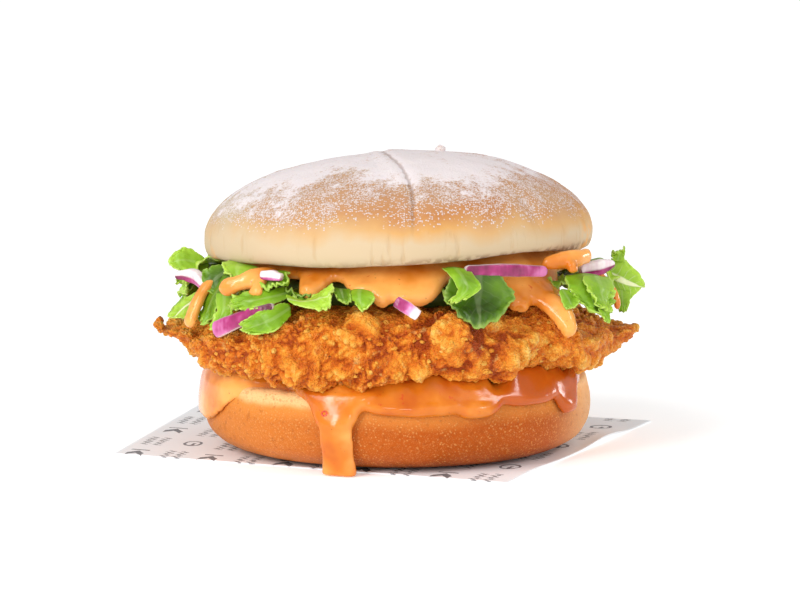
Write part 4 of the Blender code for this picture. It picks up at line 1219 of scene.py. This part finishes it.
def leafGreen():
    material, shader, coords = newMaterial("lettuceGreen", 0.38, 0.35, 0.18, (0.0012, 0.0016, 0.0004))
    shade = attribute(coords.tree, "shade")
    across, along, _ = parts(ownMap(coords.tree))
    side = abs(across - 0.5)
    bend = cloudy(coords, 190.0, 2.0)
    # the shade attribute sets the green, with the painted shade of leaf middles, of shaded leaves and of the
    # heart
    colour = colourRamp(shade + cloudy(coords, 110.0) * 0.70 - 0.35, [
        (0.0, lettuce["light"]), (0.35, lettuce["green"]), (0.75, lettuce["dark"]), (1.0, lettuce["deep"])])
    # side veins that leave the midrib at a slant, and the pale rib itself, faint on the plain leaves
    slant = along - side * 0.9 + bend * 0.16 - 0.08
    phase = abs((slant * 5.0).math("FRACT") - 0.5)
    vein = span(phase, 0.085, 0.0) * span(side, 0.47, 0.10)
    rib = span((side + bend * 0.04 - 0.02) / (along * -0.075 + 0.100), 1.25, 0.6)
    lines = larger(rib, vein * 0.45) * (attribute(coords.tree, "ribbed") * 0.85 + 0.10)
    colour = mixed(lines, colour, lettuce["rib"])
    margin = larger(span(side, 0.44, 0.50), span(along, 0.93, 1.0))
    colour = mixed(margin * 0.75 * (1.0 - shade * 0.8), colour, lettuce["margin"])
    height = lines * 0.6 - cells(coords, 620.0, "SMOOTH_F1")[0] * 0.5
    plug(shader, {"Base Color": colour, "Normal": relief(height, 0.0005, 0.6)})
    return material


makeLettuce(leafGreen())
print("burger: lettuce laid")


# red onion: strips of a ring, skin on one side and white flesh round the rest
onion = {
    "skin": tone(166, 44, 108), "skinDark": tone(92, 16, 48), "skinLight": tone(214, 120, 178),
    "flesh": tone(238, 228, 226), "blush": tone(228, 206, 212),
}
# tallness at both ends and the middle, thickness, the side with the skin (0 outwards, 90 down), how dark the
# skin is at both ends, then the way in millimetres
onionStrips = (
    (2.4, 4.0, 2.6, 2.6, 50, 0.5, 0.5, ((-62, -16, 50.3), (-57, -18, 50), (-51.8, -22, 46.8))),
    (4.6, 4.0, 2.0, 2.0, 0, -0.22, 1.0, ((-49.2, -41.2, 37.6), (-41, -47.6, 41.8), (-33, -50.8, 45.3))),
    (2.4, 2.8, 2.0, 2.0, 70, 0.0, 0.0, ((-36.2, -44.6, 52.9), (-33.4, -46.6, 53.0), (-30.8, -48.0, 52.6))),
    (3.0, 3.3, 3.0, 2.0, 0, 0.7, -1.0, ((-0.5, -58, 47.4), (2.5, -58.8, 45.6), (5.5, -59.4, 43.6))),
    (2.6, 3.4, 3.0, 2.2, 0, 1.0, 0.2, ((17.8, -52.6, 54.9), (28.5, -48.6, 54.6), (39.6, -38.9, 53.4))),
    (3.8, 4.2, 2.0, 2.6, 50, 0.6, 0.6, ((50.3, -26.8, 52.4), (56.0, -25.0, 53.4), (59.4, -22.8, 54.3))),
    (2.6, 3.6, 2.6, 2.0, 0, 0.6, 0.2, ((48.1, 25.6, 52.5), (44.6, 32.6, 52.2), (37.5, 38.9, 51.5))),
    (2.4, 3.2, 2.4, 2.0, 0, 0.2, 0.7, ((22.8, 48.9, 49.0), (18.5, 52.8, 46.6), (13.8, 55.3, 44.0))),
    (2.6, 3.6, 2.6, 2.0, 0, 0.3, 0.8, ((-16.8, 51.8, 52.0), (-25.0, 49.0, 51.8), (-32.0, 44.1, 51.5))),
    (2.4, 3.2, 2.4, 2.0, 0, 0.7, 0.2, ((-38.1, 43.8, 49.0), (-42.5, 41.6, 47.0), (-46.0, 38.6, 45.0))),
)


def makeOnion(number, strip, material):
    startTall, middleTall, endTall, thick, facing, startDark, endDark, way = strip
    points = [Vector(point) / 1000 for point in way]
    turned = radians(facing)
    bm = sheetGrid(28, 44)
    skin = bm.verts.layers.float.new("skin")
    dark = bm.verts.layers.float.new("dark")
    for vertex, around, share in spread(bm):
        turn = around * 2 * pi
        centre, ahead, out = alongWay(points, share)
        above = out.cross(ahead).normalized()
        if above.z < 0:
            above = -above
        tall = startTall + (middleTall - startTall) * smooth(0, 0.5, share)
        tall += (endTall - middleTall) * smooth(0.5, 1, share)
        tall *= 1 + 0.06 * noise(Vector((share * 7, number, 0)))
        tall *= 1 - 0.45 * (1 - min(1.0, min(share, 1 - share) / 0.04)) ** 2
        across, up = cos(turn), sin(turn)
        size = (abs(across) ** 5 + abs(up) ** 5) ** -0.2
        bent = 0.0005 * noise(Vector((share * 3, number * 2.0, 5)))
        vertex.co = centre + out * (across * size * thick / 2000 + bent) + above * up * size * tall / 2000
        vertex[skin] = smooth(0.60, 0.80, size * (across * cos(turned) - up * sin(turned)))
        vertex[dark] = startDark + (endDark - startDark) * share
    closedSkin(bm, 1e-7)
    pieceFrom("onionStrip" + str(number), bm, material, ("onion_" + str(number),))


def onionLayers():
    material, shader, coords = newMaterial("redOnion", 0.26, 0.5, 0.15, (0.002, 0.0012, 0.0015))
    dark = attribute(coords.tree, "dark")
    fibre = cloudy(stretched(coords, 900.0, 900.0, 60.0), 1.0, 2.0)
    tint = cloudy(coords, 120.0) * 0.9 + fibre * 0.1 - dark * 0.32 + 0.12
    purple = colourRamp(tint, [(0.34, onion["skinDark"]), (0.50, onion["skin"]), (0.64, onion["skinLight"])])
    flesh = colourRamp(fibre, [(0.35, onion["blush"]), (0.60, onion["flesh"])])
    # a bare end shows flesh instead of skin
    purple = mixed(span(dark, -0.30, -0.75), purple, flesh)
    colour = mixed(attribute(coords.tree, "skin"), flesh, purple)
    plug(shader, {"Base Color": colour, "Normal": relief(fibre, 0.0002, 0.4)})
    return material


redOnion = onionLayers()
for number, strip in enumerate(onionStrips, start=1):
    makeOnion(number, strip, redOnion)
print("burger: onion sliced")


# the burger paper with its generic print
paper = {
    "thickness": 0.00012, "left": (-0.0798, -0.0200), "front": (0.0285, -0.0630), "right": (0.0780, 0.0360),
    "back": (-0.0600, 0.0940), "lift": 0.0055, "flatRadius": 0.0520, "cells": (150, 140),
    "white": tone(252, 254, 255), "grey": tone(242, 245, 249), "ink": tone(72, 70, 76),
    # the width and length of the sheet, and of one mark's own place on it, in paper millimetres
    "sheet": (115.0, 120.0), "columnWidth": 11.3, "rowHeight": 19.5,
}


def makePaper(material):
    left, front, right, back = (Vector((*paper[name], 0)) for name in ("left", "front", "right", "back"))
    bm = sheetGrid(*paper["cells"])
    for vertex, u, v in spread(bm):
        place = left.lerp(front, u).lerp(back.lerp(right, u), v)
        away = smooth(paper["flatRadius"], paper["flatRadius"] + 0.018, place.length)
        ripple = smooth(0.55, 1.0, u) * sin(pi * min(1.0, v * 1.15)) ** 2
        corner = 0.25 * smooth(0.8, 1.0, v) * smooth(0.3, 0.0, u)
        crease = 0.00025 * away * noise(place * 60)
        vertex.co = place
        vertex.co.z = 0.00016 + paper["lift"] * away * (ripple + corner) + max(0.0, crease)
    addThickness(pieceFrom("burgerPaper", bm, material, ("paper",)), paper["thickness"])


def makeMarks():
    # marks of the print in paper millimetres: wavy double lines, rings with a tail and wedges with a bar
    group, (place,), result = maskGroup("printMarks", {"Vector": None})
    across, along, _ = parts(place)
    columnAt, rowAt = (across - 0.35) / paper["columnWidth"], (along + 5.25) / paper["rowHeight"]
    column, row = columnAt.math("FLOOR"), rowAt.math("FLOOR")
    x = (columnAt.math("FRACT") - 0.5) * paper["columnWidth"]
    y = (rowAt.math("FRACT") - 0.5) * paper["rowHeight"]
    other = (column + row).math("PINGPONG", 1.0)
    wavy = (y * 2.1).math("SINE") * 0.75 + (y * 5.3).math("SINE") * 0.45
    lines = (abs(abs(x + wavy) - 1.9) < 0.52) * (abs(y) < 6.6)
    wide = x * 1.45
    ring = abs((wide * wide + y * y).math("SQRT") - 3.4) < 0.55
    oval = larger(ring, (abs(x - 0.4) < 0.45) * (abs(y + 1.6) < 2.2))
    wedge = (abs(abs(x) * 1.3 + y - 1.0) < 1.8) * (abs(x) < 2.6)
    wedge = larger(wedge, (abs(x) < 2.8) * (abs(y - 4.2) < 0.55))
    evenColumn = column.math("PINGPONG", 1.0)
    symbol = wedge * (1.0 - evenColumn) + oval * evenColumn
    plug(result, {"Mask": lines * other + symbol * (1.0 - other)})
    return group


def paperPrint():
    material, shader, coords = newMaterial("printedPaper", 0.55)
    # the ink's edges are a little uneven
    uneven = cloudy(coords, 500.0, 1.0, output="Color")
    place = vectorSum("ADD", stretched(ownMap(coords.tree), *paper["sheet"], 1.0),
                      vectorSum("MULTIPLY", uneven, (0.9, 0.9, 0.0)))
    marks = Wire(addNode(coords.tree, "Group", {"Vector": place}, node_tree=makeMarks()).outputs["Mask"])
    ground = mixed(cloudy(coords, 60.0), paper["white"], paper["grey"])
    fibre = relief(cloudy(coords, 1500.0), 0.0001, 0.3)
    plug(shader, {"Base Color": mixed(marks * 0.85, ground, paper["ink"]), "Normal": fibre})
    return material


makePaper(paperPrint())
print("burger: paper spread")
